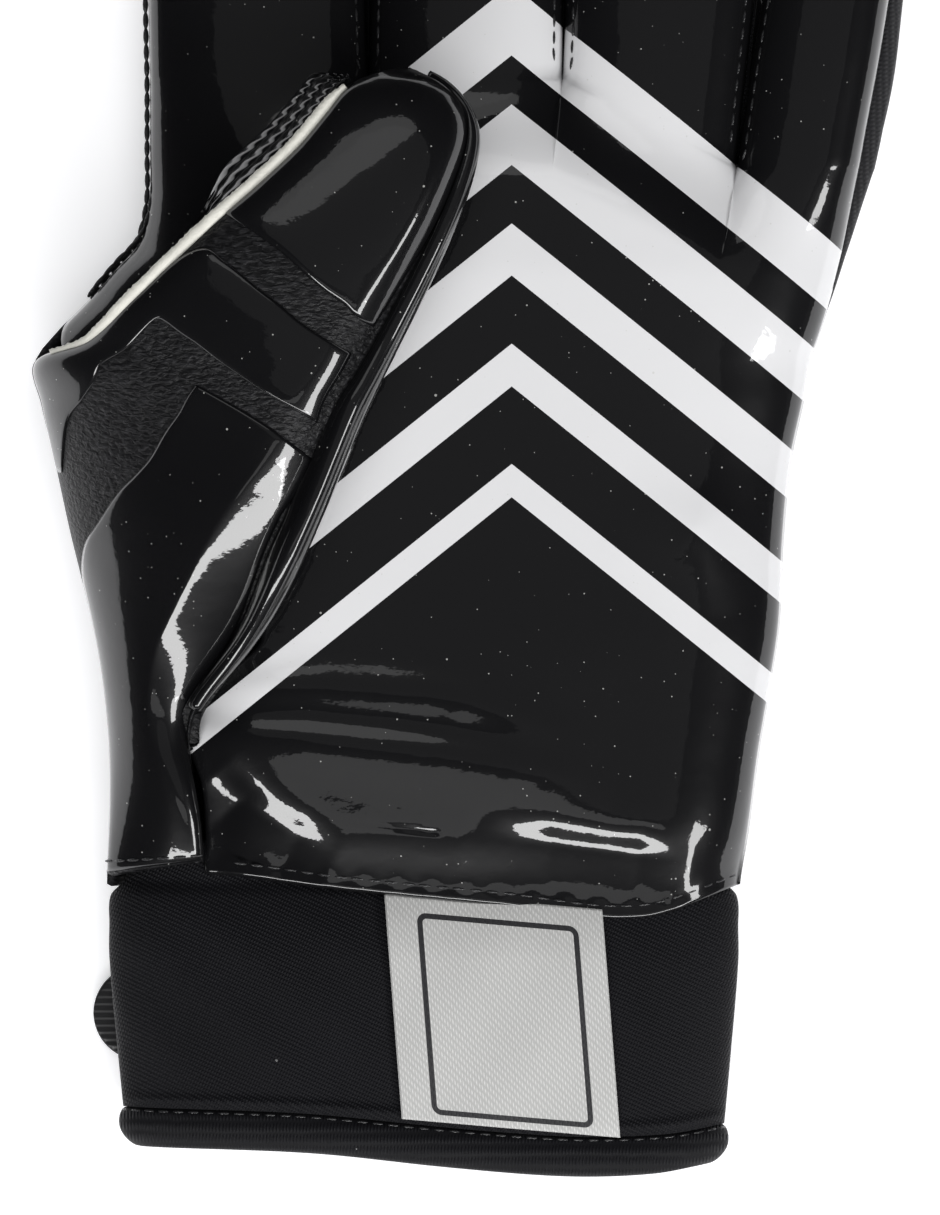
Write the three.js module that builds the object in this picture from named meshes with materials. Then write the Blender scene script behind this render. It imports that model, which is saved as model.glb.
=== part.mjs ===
// A left-hand football receiver glove lying palm up, with its thumb folded over the palm.
// Millimetres. +X runs across the hand away from the thumb, +Y towards the fingertips, +Z up.
// The model is drawn with y = 0 at the wrist seam, x = 0 at the middle of the wrist and z = 0 on the
// surface that it lies on, and is then centred on its own outline.
import * as THREE from "three";
import { mergeVertices } from "three/addons/utils/BufferGeometryUtils.js";

// Hand
const WRIST_WIDTH = 79.6; // across the wrist seam, laid flat
const PALM_LENGTH = 100.6; // wrist seam to the crotch beside the middle finger
const LITTLE_CROTCH = 89.4; // wrist seam to the crotch beside the little finger
const SEAM_HEIGHT = 8; // side seam above the surface
const PALM_RISE = 11; // crown of the palm above the side seam
const PALM_WALL = 1.2;
const BACK_WALL = 1.1;
const SEAM_GAP = 0.35; // between pieces that are sewn edge to edge
const BACK_BULGE = 3.2; // how far the knit back stands out past the palm at the little finger
const FINGER_RISE = 7; // crown of a finger above its side seams
const CROTCH_BLEND = 13; // length over which the palm divides into fingers

// Thumb
const THUMB_REST = 1.1; // clearance between the palm and the thumb lying on it
const THUMB_UNDER = 4; // depth of the thumb below its seams
const THUMB_CROWN = 10; // height of the thumb above its seams
const THUMB_FULLNESS = 0.6; // how square the thumb's arch is: 1 is round, less is squarer
const THUMB_WALL = 1.5;
const THUMB_FRONT_WALL = 1;
const PAD_THICKNESS = 0.8;
const PAD_GAP = 0.35;
const CORE_WIDTH = 1.3; // pale raw edge of the thumb's laminate
const CORE_HEIGHT = 1.1;

// Cuff
const CUFF_LENGTH = 29; // wrist seam to the binding
const CUFF_TUCK = 5; // length of the cuff held inside the hand
const CUFF_RISE = 14; // height of the flattened cuff
const CUFF_WALL = 2.2;
const BINDING_WIDTH = 5;
const BINDING_SWELL = 0.7; // how far the rolled hem stands proud of the cuff
const LABEL_WIDTH = 27.4;
const LABEL_LENGTH = CUFF_LENGTH - 2.8; // from the hem nearly to the binding
const LABEL_THICKNESS = 0.5;
const LABEL_MIDDLE = 9.9; // label's middle from the wrist's middle
const LABEL_SLOPE = -5; // of its upper and lower edges, in degrees
const LABEL_LEAN = 4.5; // of its sides, in degrees
const STRAP_WIDTH = 22;
const STRAP_THICKNESS = 1.8;
const STRAP_LENGTH = 48;
const TAB_WIDTH = 12;
const TAB_LENGTH = 13;
const TAB_REACH = 1.9; // how far the pull tab stands out past the cuff

// The hand's side outlines. up is a share of the palm's length, left and right are shares of the
// wrist's width, rise a share of the palm's rise. full is how square the palm's arch is.
const HAND = [
  { up: -0.05, left: -0.498, right: 0.496, rise: 0.84, full: 4.6 },
  { up: 0.0, left: -0.5, right: 0.5, rise: 0.86, full: 4.4 },
  { up: 0.06, left: -0.496, right: 0.513, rise: 0.93, full: 4.0 },
  { up: 0.16, left: -0.495, right: 0.53, rise: 0.97, full: 3.4 },
  { up: 0.24, left: -0.503, right: 0.547, rise: 0.98, full: 3.1 },
  { up: 0.32, left: -0.524, right: 0.562, rise: 1.0, full: 2.9 },
  { up: 0.42, left: -0.553, right: 0.568, rise: 1.0, full: 2.8 },
  { up: 0.52, left: -0.577, right: 0.58, rise: 1.0, full: 2.8 },
  { up: 0.6, left: -0.602, right: 0.601, rise: 1.0, full: 2.8 },
  { up: 0.645, left: -0.614, right: 0.61, rise: 1.0, full: 2.8 },
  { up: 0.683, left: -0.579, right: 0.626, rise: 1.0, full: 2.8 },
  { up: 0.721, left: -0.532, right: 0.64, rise: 1.0, full: 2.8 },
  { up: 0.758, left: -0.492, right: 0.652, rise: 1.0, full: 2.8 },
  { up: 0.795, left: -0.45, right: 0.663, rise: 0.98, full: 2.8 },
  { up: 0.845, left: -0.433, right: 0.676, rise: 0.95, full: 2.8 },
  { up: 0.907, left: -0.432, right: 0.692, rise: 0.9, full: 2.8 },
  { up: 1.0, left: -0.432, right: 0.712, rise: 0.84, full: 2.8 },
];

// The palm's edge along the thumb's opening: in is a share of the hand's width at that height.
const THUMB_OPENING = [
  { up: -0.05, in: 0.16 },
  { up: 0.0, in: 0.158 },
  { up: 0.1, in: 0.148 },
  { up: 0.18, in: 0.12 },
  { up: 0.236, in: 0.165 },
  { up: 0.298, in: 0.248 },
  { up: 0.4, in: 0.214 },
  { up: 0.52, in: 0.163 },
  { up: 0.61, in: 0.1 },
  { up: 0.66, in: 0.03 },
  { up: 0.7, in: 0.0 },
  { up: 1.0, in: 0.0 },
];
const CREASE_TOP_UP = 0.297; // where the thumb leaves the palm's edge
const WEB_UP = 0.655; // where the opening ends at the web of the thumb

// The fingers, from the thumb's side. from and to are shares of the knuckles' width, length a share
// of the palm's length, base and tip shares of the finger's own width, lean in degrees to the right.
// swell is how much the knit back stands out past the finger's right side, as a share of its bulge.
const FINGERS = [
  { from: 0.0, to: 0.308, length: 0.735, base: 0.97, tip: 0.78, lean: -1.5, swell: 0 },
  { from: 0.308, to: 0.581, length: 0.805, base: 0.97, tip: 0.82, lean: 0.8, swell: 0 },
  { from: 0.581, to: 0.826, length: 0.745, base: 0.97, tip: 0.84, lean: 4.5, swell: 0 },
  { from: 0.826, to: 1.0, length: 0.6, base: 1.03, tip: 0.95, lean: 9.5, swell: 1 },
];

// The lower edge of the palm over the cuff: drop is a share of the palm's length.
const HEM = [
  { across: 0.0, drop: 0.002 },
  { across: 0.157, drop: 0.004 },
  { across: 0.385, drop: 0.016 },
  { across: 0.62, drop: 0.031 },
  { across: 0.84, drop: 0.043 },
  { across: 1.0, drop: 0.006 },
];

// Folds and dents of the palm. across and up are shares of the wrist's width and the palm's length,
// height is a share of the palm's rise and width of the palm's length.
const FOLDS = [
  { name: "upper fold", across: -0.34, up: 0.215, toAcross: -0.15, toUp: 0.24, height: 0.09, width: 0.022 },
  { name: "upper fold runs out", across: -0.15, up: 0.24, toAcross: 0.1, toUp: 0.195, height: 0.08, width: 0.03 },
  { name: "trough", across: -0.35, up: 0.205, toAcross: 0.12, toUp: 0.165, height: -0.12, width: 0.022 },
  { name: "lower fold", across: -0.36, up: 0.185, toAcross: 0.2, toUp: 0.13, height: 0.1, width: 0.028 },
  { name: "heel dent", across: 0.1, up: 0.05, toAcross: 0.4, toUp: 0.035, height: -0.06, width: 0.04 },
  { name: "crease lip", across: -0.35, up: 0.1, toAcross: -0.375, toUp: 0.18, height: -0.16, width: 0.025 },
  { name: "swell below the little finger", across: 0.42, up: 0.44, toAcross: 0.42, toUp: 0.4, height: 0.06, width: 0.07 },
];

// Sections of the thumb from its root to its tip. x is a share of the wrist's width and up of the
// palm's length. A lift of 0 is at the hand's side seam and 1 at the seam of the thumb lying on the
// palm. crown is a share of the thumb's crown.
const THUMB = [
  { leftX: -0.5, leftUp: 0.008, leftLift: 0, rightX: -0.347, rightUp: 0.008, rightLift: 0.36, crown: 0.58 },
  { leftX: -0.495, leftUp: 0.099, leftLift: 0, rightX: -0.352, rightUp: 0.093, rightLift: 0.38, crown: 0.65 },
  { leftX: -0.497, leftUp: 0.18, leftLift: 0, rightX: -0.382, rightUp: 0.18, rightLift: 0.38, crown: 0.7 },
  { leftX: -0.51, leftUp: 0.267, leftLift: 0, rightX: -0.34, rightUp: 0.236, rightLift: 0.45, crown: 0.85 },
  { leftX: -0.533, leftUp: 0.354, leftLift: 0, rightX: -0.26, rightUp: 0.297, rightLift: 0.74, crown: 1.0 },
  { leftX: -0.558, leftUp: 0.435, leftLift: 0, rightX: -0.196, rightUp: 0.383, rightLift: 1, crown: 1.1 },
  { leftX: -0.58, leftUp: 0.516, leftLift: 0.02, rightX: -0.15, rightUp: 0.462, rightLift: 1, crown: 1.25 },
  { leftX: -0.602, leftUp: 0.59, leftLift: 0.08, rightX: -0.115, rightUp: 0.532, rightLift: 1, crown: 1.35 },
  { leftX: -0.612, leftUp: 0.644, leftLift: 0.25, rightX: -0.087, rightUp: 0.584, rightLift: 1, crown: 1.35 },
  { leftX: -0.532, leftUp: 0.668, leftLift: 0.62, rightX: -0.064, rightUp: 0.621, rightLift: 1, crown: 1.2 },
  { leftX: -0.461, leftUp: 0.718, leftLift: 0.9, rightX: -0.04, rightUp: 0.659, rightLift: 1, crown: 1.06 },
  { leftX: -0.395, leftUp: 0.768, leftLift: 1, rightX: -0.013, rightUp: 0.702, rightLift: 1, crown: 1.0 },
  { leftX: -0.327, leftUp: 0.818, leftLift: 1, rightX: 0.015, rightUp: 0.748, rightLift: 1, crown: 1.0 },
  { leftX: -0.26, leftUp: 0.864, leftLift: 1, rightX: 0.04, rightUp: 0.791, rightLift: 1, crown: 0.97 },
  { leftX: -0.202, leftUp: 0.907, leftLift: 1, rightX: 0.064, rightUp: 0.839, rightLift: 1, crown: 0.92 },
  { leftX: -0.159, leftUp: 0.947, leftLift: 1, rightX: 0.081, rightUp: 0.885, rightLift: 1, crown: 0.84 },
  { leftX: -0.131, leftUp: 0.974, leftLift: 1, rightX: 0.087, rightUp: 0.922, rightLift: 1, crown: 0.74 },
  { leftX: -0.103, leftUp: 0.989, leftLift: 1, rightX: 0.071, rightUp: 0.954, rightLift: 1, crown: 0.62 },
  { leftX: -0.068, leftUp: 0.999, leftLift: 1, rightX: 0.037, rightUp: 0.982, rightLift: 1, crown: 0.44 },
  { leftX: -0.021, leftUp: 1.006, leftLift: 1, rightX: -0.021, rightUp: 1.006, rightLift: 1, crown: 0 },
];
const THUMB_TIP = THUMB.length - 1;
const UNDER_START = 4; // section at which the thumb leaves the palm's edge
const THUMB_ROWS = [0, 1, 2, 3, 4, 4.6, 5, 6, 7, 8, 9, 10, 11, 12, 13, 14, 15, 16, 17, 18, 19];
const SEAM_START = 9; // section at which the thumb's upper seam begins

// Pads on the thumb. section counts the thumb's sections, left and right are shares across them, and
// skew is how many sections nearer the root a pad's right side lies than its left side, for each
// share across.
const PADS = {
  thumb_tip_pad: [
    { section: 12.2, left: 0.06, right: 0.82, skew: 1.6 },
    { section: 14, left: 0.06, right: 0.83, skew: 1.0 },
    { section: 16, left: 0.08, right: 0.84, skew: 0.4 },
    { section: 17.6, left: 0.14, right: 0.8, skew: 0 },
  ],
  thumb_mid_pad: [
    { section: 9.85, left: 0.06, right: 0.85, skew: 3 },
    { section: 11.25, left: 0.05, right: 0.84, skew: 2.1 },
  ],
  thumb_base_pad: [
    { section: 0.4, left: 0.16, right: 0.84, skew: 0 },
    { section: 1, left: 0.16, right: 0.76, skew: 0 },
    { section: 2, left: 0.14, right: 0.62, skew: 0 },
    { section: 3, left: 0.1, right: 0.54, skew: 0 },
    { section: 3.7, left: 0.07, right: 0.58, skew: 0 },
    { section: 4.5, left: 0.09, right: 0.66, skew: 0 },
    { section: 5.4, left: 0.2, right: 0.75, skew: 0.1 },
    { section: 6.4, left: 0.34, right: 0.79, skew: 0.6 },
    { section: 8, left: 0.49, right: 0.8, skew: 2.4 },
  ],
};

// Sections of the cuff from inside the hand to the binding. down is a share of the cuff's length,
// half a share of the wrist's width, rise a share of the cuff's rise.
const CUFF = [
  { down: -0.17, half: 0.468, rise: 0.95 },
  { down: 0.05, half: 0.472, rise: 0.95 },
  { down: 0.15, half: 0.494, rise: 0.96 },
  { down: 0.34, half: 0.495, rise: 1.0 },
  { down: 0.69, half: 0.485, rise: 1.0 },
  { down: 1.0, half: 0.473, rise: 0.96 },
];

// How far the wrist opening hangs lower towards the little finger: drop is a share of the cuff's length.
const DROOP = [
  { across: -1.0, drop: -0.02 },
  { across: -0.4, drop: 0.005 },
  { across: 0.1, drop: 0.068 },
  { across: 0.5, drop: 0.105 },
  { across: 0.8, drop: 0.096 },
  { across: 1.0, drop: 0.055 },
];

const COLUMNS = 8; // divisions across a finger
const BACK_COLUMNS = 6;
const FINGER_ROWS = [0, 0.08, 0.22, 0.4, 0.58, 0.74, 0.86, 0.94, 0.985, 1];
const PALM_ROWS = [0, 0.05, 0.1, 0.13, 0.16, 0.19, 0.22, 0.26, 0.3, 0.36, 0.43, 0.5, 0.57, 0.63, 0.67, 0.71,
  0.76, 0.81, 0.86, 0.9, 0.94, 0.97, 1];
const BACK_ROWS = [0, 0.1, 0.25, 0.4, 0.52, 0.6, 0.65, 0.7, 0.76, 0.82, 0.9, 0.96, 1];
const ROUND_COLUMNS = 36; // divisions around the cuff
const UP = new THREE.Vector3(0, 0, 1);

const mix = (a, b, t) => a + (b - a) * t;
const clamp = (t) => Math.min(1, Math.max(0, t));
const ease = (t) => clamp(t) ** 2 * (3 - 2 * clamp(t));

// A smooth curve through one column of a table.
function read(table, key, at, by) {
  const last = table.length - 1;
  let i = 0;
  while (i < last - 1 && at > table[i + 1][by]) i++;
  const slope = (k) => {
    const a = table[Math.max(0, k - 1)];
    const b = table[Math.min(last, k + 1)];
    return (b[key] - a[key]) / (b[by] - a[by]);
  };
  const span = table[i + 1][by] - table[i][by];
  const t = clamp((at - table[i][by]) / span);
  const rise = table[i + 1][key] - table[i][key];
  const bend = (1 - t) * (slope(i) * span - rise) - t * (slope(i + 1) * span - rise);
  return table[i][key] + rise * t + t * (1 - t) * bend;
}

// Closes a sheet, given as grids of outer points, into a solid of the given wall. A grid's columns run
// to the right of its rows when seen from outside. sewn tells which points of its rim meet another
// piece edge to edge: the wall is level there.
function wallOf(grids, wall, sewn) {
  const corners = [];
  for (const grid of grids)
    for (let i = 0; i + 1 < grid.length; i++)
      for (let j = 0; j + 1 < grid[i].length; j++) {
        const [a, b, c, d] = [grid[i][j], grid[i][j + 1], grid[i + 1][j + 1], grid[i + 1][j]];
        corners.push(a, b, c, a, c, d);
      }
  const loose = new THREE.BufferGeometry().setFromPoints(corners);
  const sheet = mergeVertices(loose, 1e-3);
  const index = [];
  const given = sheet.index.array;
  for (let i = 0; i < given.length; i += 3) {
    const [a, b, c] = given.slice(i, i + 3);
    if (a !== b && b !== c && c !== a) index.push([a, b, c]);
  }
  sheet.setIndex(index.flat());
  sheet.computeVertexNormals();
  const { position, normal } = sheet.attributes;
  const count = position.count;
  const points = [];
  for (let i = 0; i < count; i++) points.push(new THREE.Vector3().fromBufferAttribute(position, i));
  const edges = index.flatMap(([a, b, c]) => [[a, b], [b, c], [c, a]]);
  const known = new Set(edges.map(([a, b]) => `${a} ${b}`));
  const open = edges.filter(([a, b]) => !known.has(`${b} ${a}`));
  const rim = new Set(open.flat());
  for (let i = 0; i < count; i++) {
    const inward = new THREE.Vector3().fromBufferAttribute(normal, i).multiplyScalar(-wall);
    const level = rim.has(i) && sewn(points[i]);
    points.push(points[i].clone().add(level ? inward.setZ(0).setLength(wall) : inward));
  }
  const faces = [];
  for (const [a, b, c] of index) faces.push(a, b, c, c + count, b + count, a + count);
  for (const [a, b] of open) faces.push(b, a, a + count, b, a + count, b + count);
  return new THREE.BufferGeometry().setFromPoints(points).setIndex(faces);
}

// A solid between two grids of the same size.
function slabOf(outer, inner) {
  const [rows, columns] = [outer.length, outer[0].length];
  const count = rows * columns;
  const at = (i, j) => i * columns + j;
  const faces = [];
  for (let i = 0; i + 1 < rows; i++)
    for (let j = 0; j + 1 < columns; j++) {
      const [a, b, c, d] = [at(i, j), at(i, j + 1), at(i + 1, j + 1), at(i + 1, j)];
      faces.push(a, b, c, a, c, d, c + count, b + count, a + count, d + count, c + count, a + count);
    }
  const rim = [];
  for (let j = 0; j + 1 < columns; j++) rim.push([at(0, j), at(0, j + 1)], [at(rows - 1, j + 1), at(rows - 1, j)]);
  for (let i = 0; i + 1 < rows; i++) rim.push([at(i, columns - 1), at(i + 1, columns - 1)], [at(i + 1, 0), at(i, 0)]);
  for (const [a, b] of rim) faces.push(b, a, a + count, b, a + count, b + count);
  return new THREE.BufferGeometry().setFromPoints([...outer.flat(), ...inner.flat()]).setIndex(faces);
}

// A closed ring of sections, such as a cuff, each a list of points that runs once round.
function ringOf(sections) {
  const width = sections[0].length;
  const faces = [];
  sections.forEach((_, i) => {
    const next = (i + 1) % sections.length;
    for (let j = 0; j < width; j++) {
      const k = (j + 1) % width;
      const [a, b, c, d] = [i * width + j, i * width + k, next * width + k, next * width + j];
      faces.push(a, b, c, a, c, d);
    }
  });
  return new THREE.BufferGeometry().setFromPoints(sections.flat()).setIndex(faces);
}

function part(name, geometry, color, roughness) {
  const mesh = new THREE.Mesh(geometry, new THREE.MeshStandardMaterial({ color, roughness, metalness: 0 }));
  mesh.name = name;
  return mesh;
}

// Hand

const hemDrop = (across) => read(HEM, "drop", across, "across") * PALM_LENGTH;
const sideX = (side, y) => read(HAND, side, y / PALM_LENGTH, "up") * WRIST_WIDTH;
const openingShare = (y) => Math.max(0, read(THUMB_OPENING, "in", y / PALM_LENGTH, "up"));
const onHandSeam = (p) => Math.abs(p.z - SEAM_HEIGHT) < SEAM_GAP;

// Height of the palm's folds at a point.
function foldHeight(x, y) {
  let height = 0;
  for (const f of FOLDS) {
    const start = new THREE.Vector2(f.across * WRIST_WIDTH, f.up * PALM_LENGTH);
    const run = new THREE.Vector2(f.toAcross * WRIST_WIDTH, f.toUp * PALM_LENGTH).sub(start);
    const point = new THREE.Vector2(x, y).sub(start);
    const along = clamp(point.dot(run) / run.lengthSq());
    const away = point.distanceTo(run.clone().multiplyScalar(along)) / (f.width * PALM_LENGTH);
    const fade = 0.35 + 0.65 * Math.sin(Math.PI * mix(0.12, 0.88, along));
    height += f.height * PALM_RISE * fade * Math.exp(-away * away);
  }
  return height;
}

// Outer height of the palm at a share across the hand.
function palmHeight(across, x, y) {
  const at = (key) => read(HAND, key, y / PALM_LENGTH, "up");
  const arch = (1 - Math.abs(2 * across - 1) ** at("full")) ** 0.5;
  const rise = at("rise") * PALM_RISE;
  return SEAM_HEIGHT + rise * arch + foldHeight(x, y) * clamp(arch * 1.6);
}

// Outer height of the palm under a point.
function palmUnder(x, y) {
  const left = sideX("left", y);
  const across = clamp((x - left) / (sideX("right", y) - left));
  return palmHeight(across, x, y);
}

// How far towards the fingertips the crotch line lies, at a share across the knuckles.
function crotchY(across) {
  const ring = FINGERS[2];
  return mix(PALM_LENGTH, LITTLE_CROTCH, clamp((across - ring.from) / (ring.to - ring.from)));
}

// Shares across the knuckles of each finger's divisions, close together at its sides.
function fingerShares(finger, columns) {
  const shares = [];
  for (let k = 0; k <= columns; k++) {
    const turn = (Math.PI * k) / columns;
    shares.push({ across: mix(finger.from, finger.to, (1 - Math.cos(turn)) / 2), turn });
  }
  return shares;
}

const archOf = (turn) => Math.sin(turn) ** 0.62;

// How far the hand is divided into fingers at a distance before the crotches: sharply between two
// fingers and gently along each of them.
function dividedAt(before, turn) {
  const near = clamp(before / CROTCH_BLEND);
  return mix((1 - near ** 0.5) ** 1.5, ease(1 - near), Math.sin(turn) ** 0.7);
}

// A point of the palm's outer sheet: v runs from the hem to the crotches.
function palmPoint(share, v) {
  const yAt = (across) => mix(-hemDrop(across), crotchY(across), v);
  const edge = v < 1 ? openingShare(yAt(0)) : 0;
  const across = mix(edge, 1, share.across);
  const y = yAt(across);
  const x = mix(sideX("left", yAt(0)), sideX("right", yAt(1)), across);
  const divided = dividedAt(crotchY(across) - y, share.turn);
  const whole = palmHeight(across, x, y);
  const finger = SEAM_HEIGHT + FINGER_RISE * archOf(share.turn);
  const z = mix(whole, finger, divided);
  return new THREE.Vector3(x, y, Math.max(z, SEAM_HEIGHT + SEAM_GAP / 2));
}

// A point of the back's outer sheet, flat where it lies on the surface.
function backPoint(share, v) {
  const yAt = (across) => mix(-hemDrop(1), crotchY(across), v);
  const x = mix(sideX("left", yAt(0)), sideX("right", yAt(1)), share.across);
  const whole = Math.max(0, 1 - 1.02 * (1 - Math.abs(2 * share.across - 1) ** 12) ** 0.5);
  const divided = dividedAt(crotchY(share.across) - yAt(share.across), share.turn);
  const low = mix(whole, fingerBackShare(share.turn), divided);
  return bulged(x, yAt(share.across), (SEAM_HEIGHT - SEAM_GAP / 2) * low, share.across);
}

// Height of a finger's back as a share of the seam's height: flat in the middle, round at the sides.
const fingerBackShare = (turn) => Math.max(0, 1 - 1.12 * Math.sin(turn) ** 0.8);

// How far the knit back swells past the seam at a height below it.
function bulgeAt(z) {
  const k = Math.min(z / SEAM_HEIGHT, 1);
  return BACK_BULGE * 4 * k * (1 - k);
}

// The knit back swells past the palm along the little finger's side.
function bulged(x, y, z, across) {
  const where = ease((y / PALM_LENGTH - 0.62) / 0.4) * ease((across - 0.6) / 0.3);
  return new THREE.Vector3(x + where * bulgeAt(z), y, z);
}

// Rows of a finger's sheet. height(turn) gives the sheet's height for the finger's full girth.
function fingerGrid(finger, base, columns, heightAt) {
  const shares = fingerShares(finger, columns);
  const [first, last] = [base[0], base[columns]];
  const width = first.distanceTo(last);
  const lean = THREE.MathUtils.degToRad(finger.lean);
  const along = new THREE.Vector2(Math.sin(lean), Math.cos(lean));
  const middle = new THREE.Vector2((first.x + last.x) / 2, (first.y + last.y) / 2);
  const length = finger.length * PALM_LENGTH;
  const roundFrom = 1 - (finger.tip * width * 0.5) / length;
  return FINGER_ROWS.map((v) => {
    const round = v < roundFrom ? 1 : Math.sqrt(Math.max(0, 1 - ((v - roundFrom) / (1 - roundFrom)) ** 2));
    const half = (width / 2) * mix(finger.base, finger.tip, v) * round;
    const settle = ease(v / 0.3);
    return shares.map(({ turn }, k) => {
      const z = heightAt(turn, round ** 0.7);
      const swell = turn > Math.PI / 2 ? finger.swell * bulgeAt(z) * (1 - v) : 0;
      const side = -Math.cos(turn) * half + swell;
      const x = middle.x + along.x * length * v + along.y * side;
      const y = middle.y + along.y * length * v - along.x * side;
      const started = base[k].clone().add(new THREE.Vector3(along.x, along.y, 0).multiplyScalar(length * v));
      return started.lerp(new THREE.Vector3(x, y, z), v === 0 ? 0 : Math.max(settle, 0.2));
    });
  });
}

function sheetOfHand(rows, columns, pointAt, heightAt) {
  const grids = [];
  const knuckles = rows.map((v) => FINGERS.map((f) => fingerShares(f, columns).map((s) => pointAt(s, v))));
  FINGERS.forEach((finger, i) => {
    grids.push(knuckles.map((row) => row[i]));
    grids.push(fingerGrid(finger, knuckles.at(-1)[i], columns, heightAt));
  });
  return grids;
}

function palmPanel() {
  const top = (turn, round) => SEAM_HEIGHT + SEAM_GAP / 2 + FINGER_RISE * archOf(turn) * round;
  return wallOf(sheetOfHand(PALM_ROWS, COLUMNS, palmPoint, top), PALM_WALL, onHandSeam);
}

function backPanel() {
  const base = SEAM_HEIGHT - SEAM_GAP / 2;
  const under = (turn, round) => base * mix(1, fingerBackShare(turn), round);
  const grids = sheetOfHand(BACK_ROWS, BACK_COLUMNS, backPoint, under);
  const facingDown = grids.map((grid) => grid.map((row) => [...row].reverse()));
  return wallOf(facingDown, BACK_WALL, onHandSeam);
}

// Thumb

const THUMB_SEAM = SEAM_HEIGHT + PALM_RISE + THUMB_REST + THUMB_UNDER;

// The palm's edge along the thumb's opening.
function openingEdge(up) {
  const y = up * PALM_LENGTH;
  const x = mix(sideX("left", y), sideX("right", y), openingShare(y));
  return new THREE.Vector3(x, y, palmUnder(x, y));
}

// The thumb's sections in millimetres: its root is sewn to the palm's edge.
const SECTIONS = THUMB.map((row, section) => {
  const side = (name) => {
    const edge = new THREE.Vector3(row[name + "X"] * WRIST_WIDTH, row[name + "Up"] * PALM_LENGTH);
    return edge.setZ(mix(SEAM_HEIGHT, THUMB_SEAM, row[name + "Lift"]));
  };
  const left = side("left");
  const right = section > UNDER_START ? side("right") : openingEdge(row.rightUp);
  return { section, crown: row.crown * THUMB_CROWN, left, right };
});
const EDGE_TABLES = Object.fromEntries(["left", "right"].map((side) => [
  side,
  SECTIONS.map((row) => ({ section: row.section, x: row[side].x, y: row[side].y, z: row[side].z })),
]));

// The thumb's left or right edge at a section.
function thumbEdge(side, section) {
  const at = (key) => read(EDGE_TABLES[side], key, section, "section");
  return new THREE.Vector3(at("x"), at("y"), at("z"));
}

// A point of the thumb cover's outer sheet.
function coverPoint(section, across) {
  const point = thumbEdge("left", section).lerp(thumbEdge("right", section), across);
  const crown = read(SECTIONS, "crown", section, "section");
  const turn = Math.acos(1 - 2 * clamp(across));
  point.x -= SEAM_GAP * across * clamp(UNDER_START + 1 - section);
  return point.addScaledVector(UP, crown * Math.sin(turn) ** THUMB_FULLNESS + SEAM_GAP / 2);
}

// Shares across a sheet, closer together at its sides.
const sideways = (columns) => Array.from({ length: columns + 1 }, (_, k) => (1 - Math.cos((Math.PI * k) / columns)) / 2);

function thumbCover() {
  const shares = sideways(12);
  const grid = THUMB_ROWS.map((section) => shares.map((s) => coverPoint(section, s)));
  const root = grid[0][0].y;
  return wallOf([grid], THUMB_WALL, (p) => p.y > root + THUMB_WALL);
}

// The thumb's inner half starts along the palm's edge, under the cover, and then follows the seam.
function underEdge(section) {
  if (section > SEAM_START) return thumbEdge("left", section);
  const up = mix(CREASE_TOP_UP, WEB_UP, (section - UNDER_START) / (SEAM_START - UNDER_START));
  return openingEdge(up).addScaledVector(UP, THUMB_REST);
}

function thumbFront() {
  const shares = sideways(8);
  const grid = [];
  for (const section of THUMB_ROWS.filter((row) => row > UNDER_START)) {
    const [left, right] = [underEdge(section), thumbEdge("right", section)];
    const depth = THUMB_UNDER * Math.min(1, left.distanceTo(right) / (0.2 * WRIST_WIDTH));
    grid.push(shares.map((s) => {
      const p = left.clone().lerp(right, s);
      const sag = depth * (4 * s * (1 - s)) ** 0.6 * ease((section - UNDER_START) / 4);
      const rest = palmUnder(p.x, p.y) + THUMB_REST;
      return p.setZ(Math.max(p.z - sag, Math.min(rest, p.z + THUMB_REST)) - SEAM_GAP);
    }).reverse());
  }
  return wallOf([grid], THUMB_FRONT_WALL, (p) => p.z > SEAM_HEIGHT + PALM_RISE + THUMB_REST);
}

// A raised pad on the thumb cover, between the edges that its table gives.
function thumbPad(rows) {
  const [start, end] = [rows[0].section, rows.at(-1).section];
  const steps = Math.max(4, Math.round((end - start) * 1.6));
  const gridAt = (height) => Array.from({ length: steps + 1 }, (_, i) => {
    const section = mix(start, end, i / steps);
    const [left, right, skew] = ["left", "right", "skew"].map((key) => read(rows, key, section, "section"));
    const width = right - left;
    return [0, 0.2, 0.4, 0.6, 0.8, 1].map((s) => onCover(section - skew * width * s, left + width * s, height));
  });
  return slabOf(gridAt(PAD_GAP + PAD_THICKNESS), gridAt(PAD_GAP));
}

// A point at a height above the cover.
function onCover(section, across, height) {
  const step = 0.02;
  const p = coverPoint(section, across);
  const along = coverPoint(section + step, across).sub(coverPoint(section - step, across));
  const over = coverPoint(section, across + step).sub(coverPoint(section, across - step));
  return p.addScaledVector(over.cross(along).normalize(), height);
}

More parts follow.
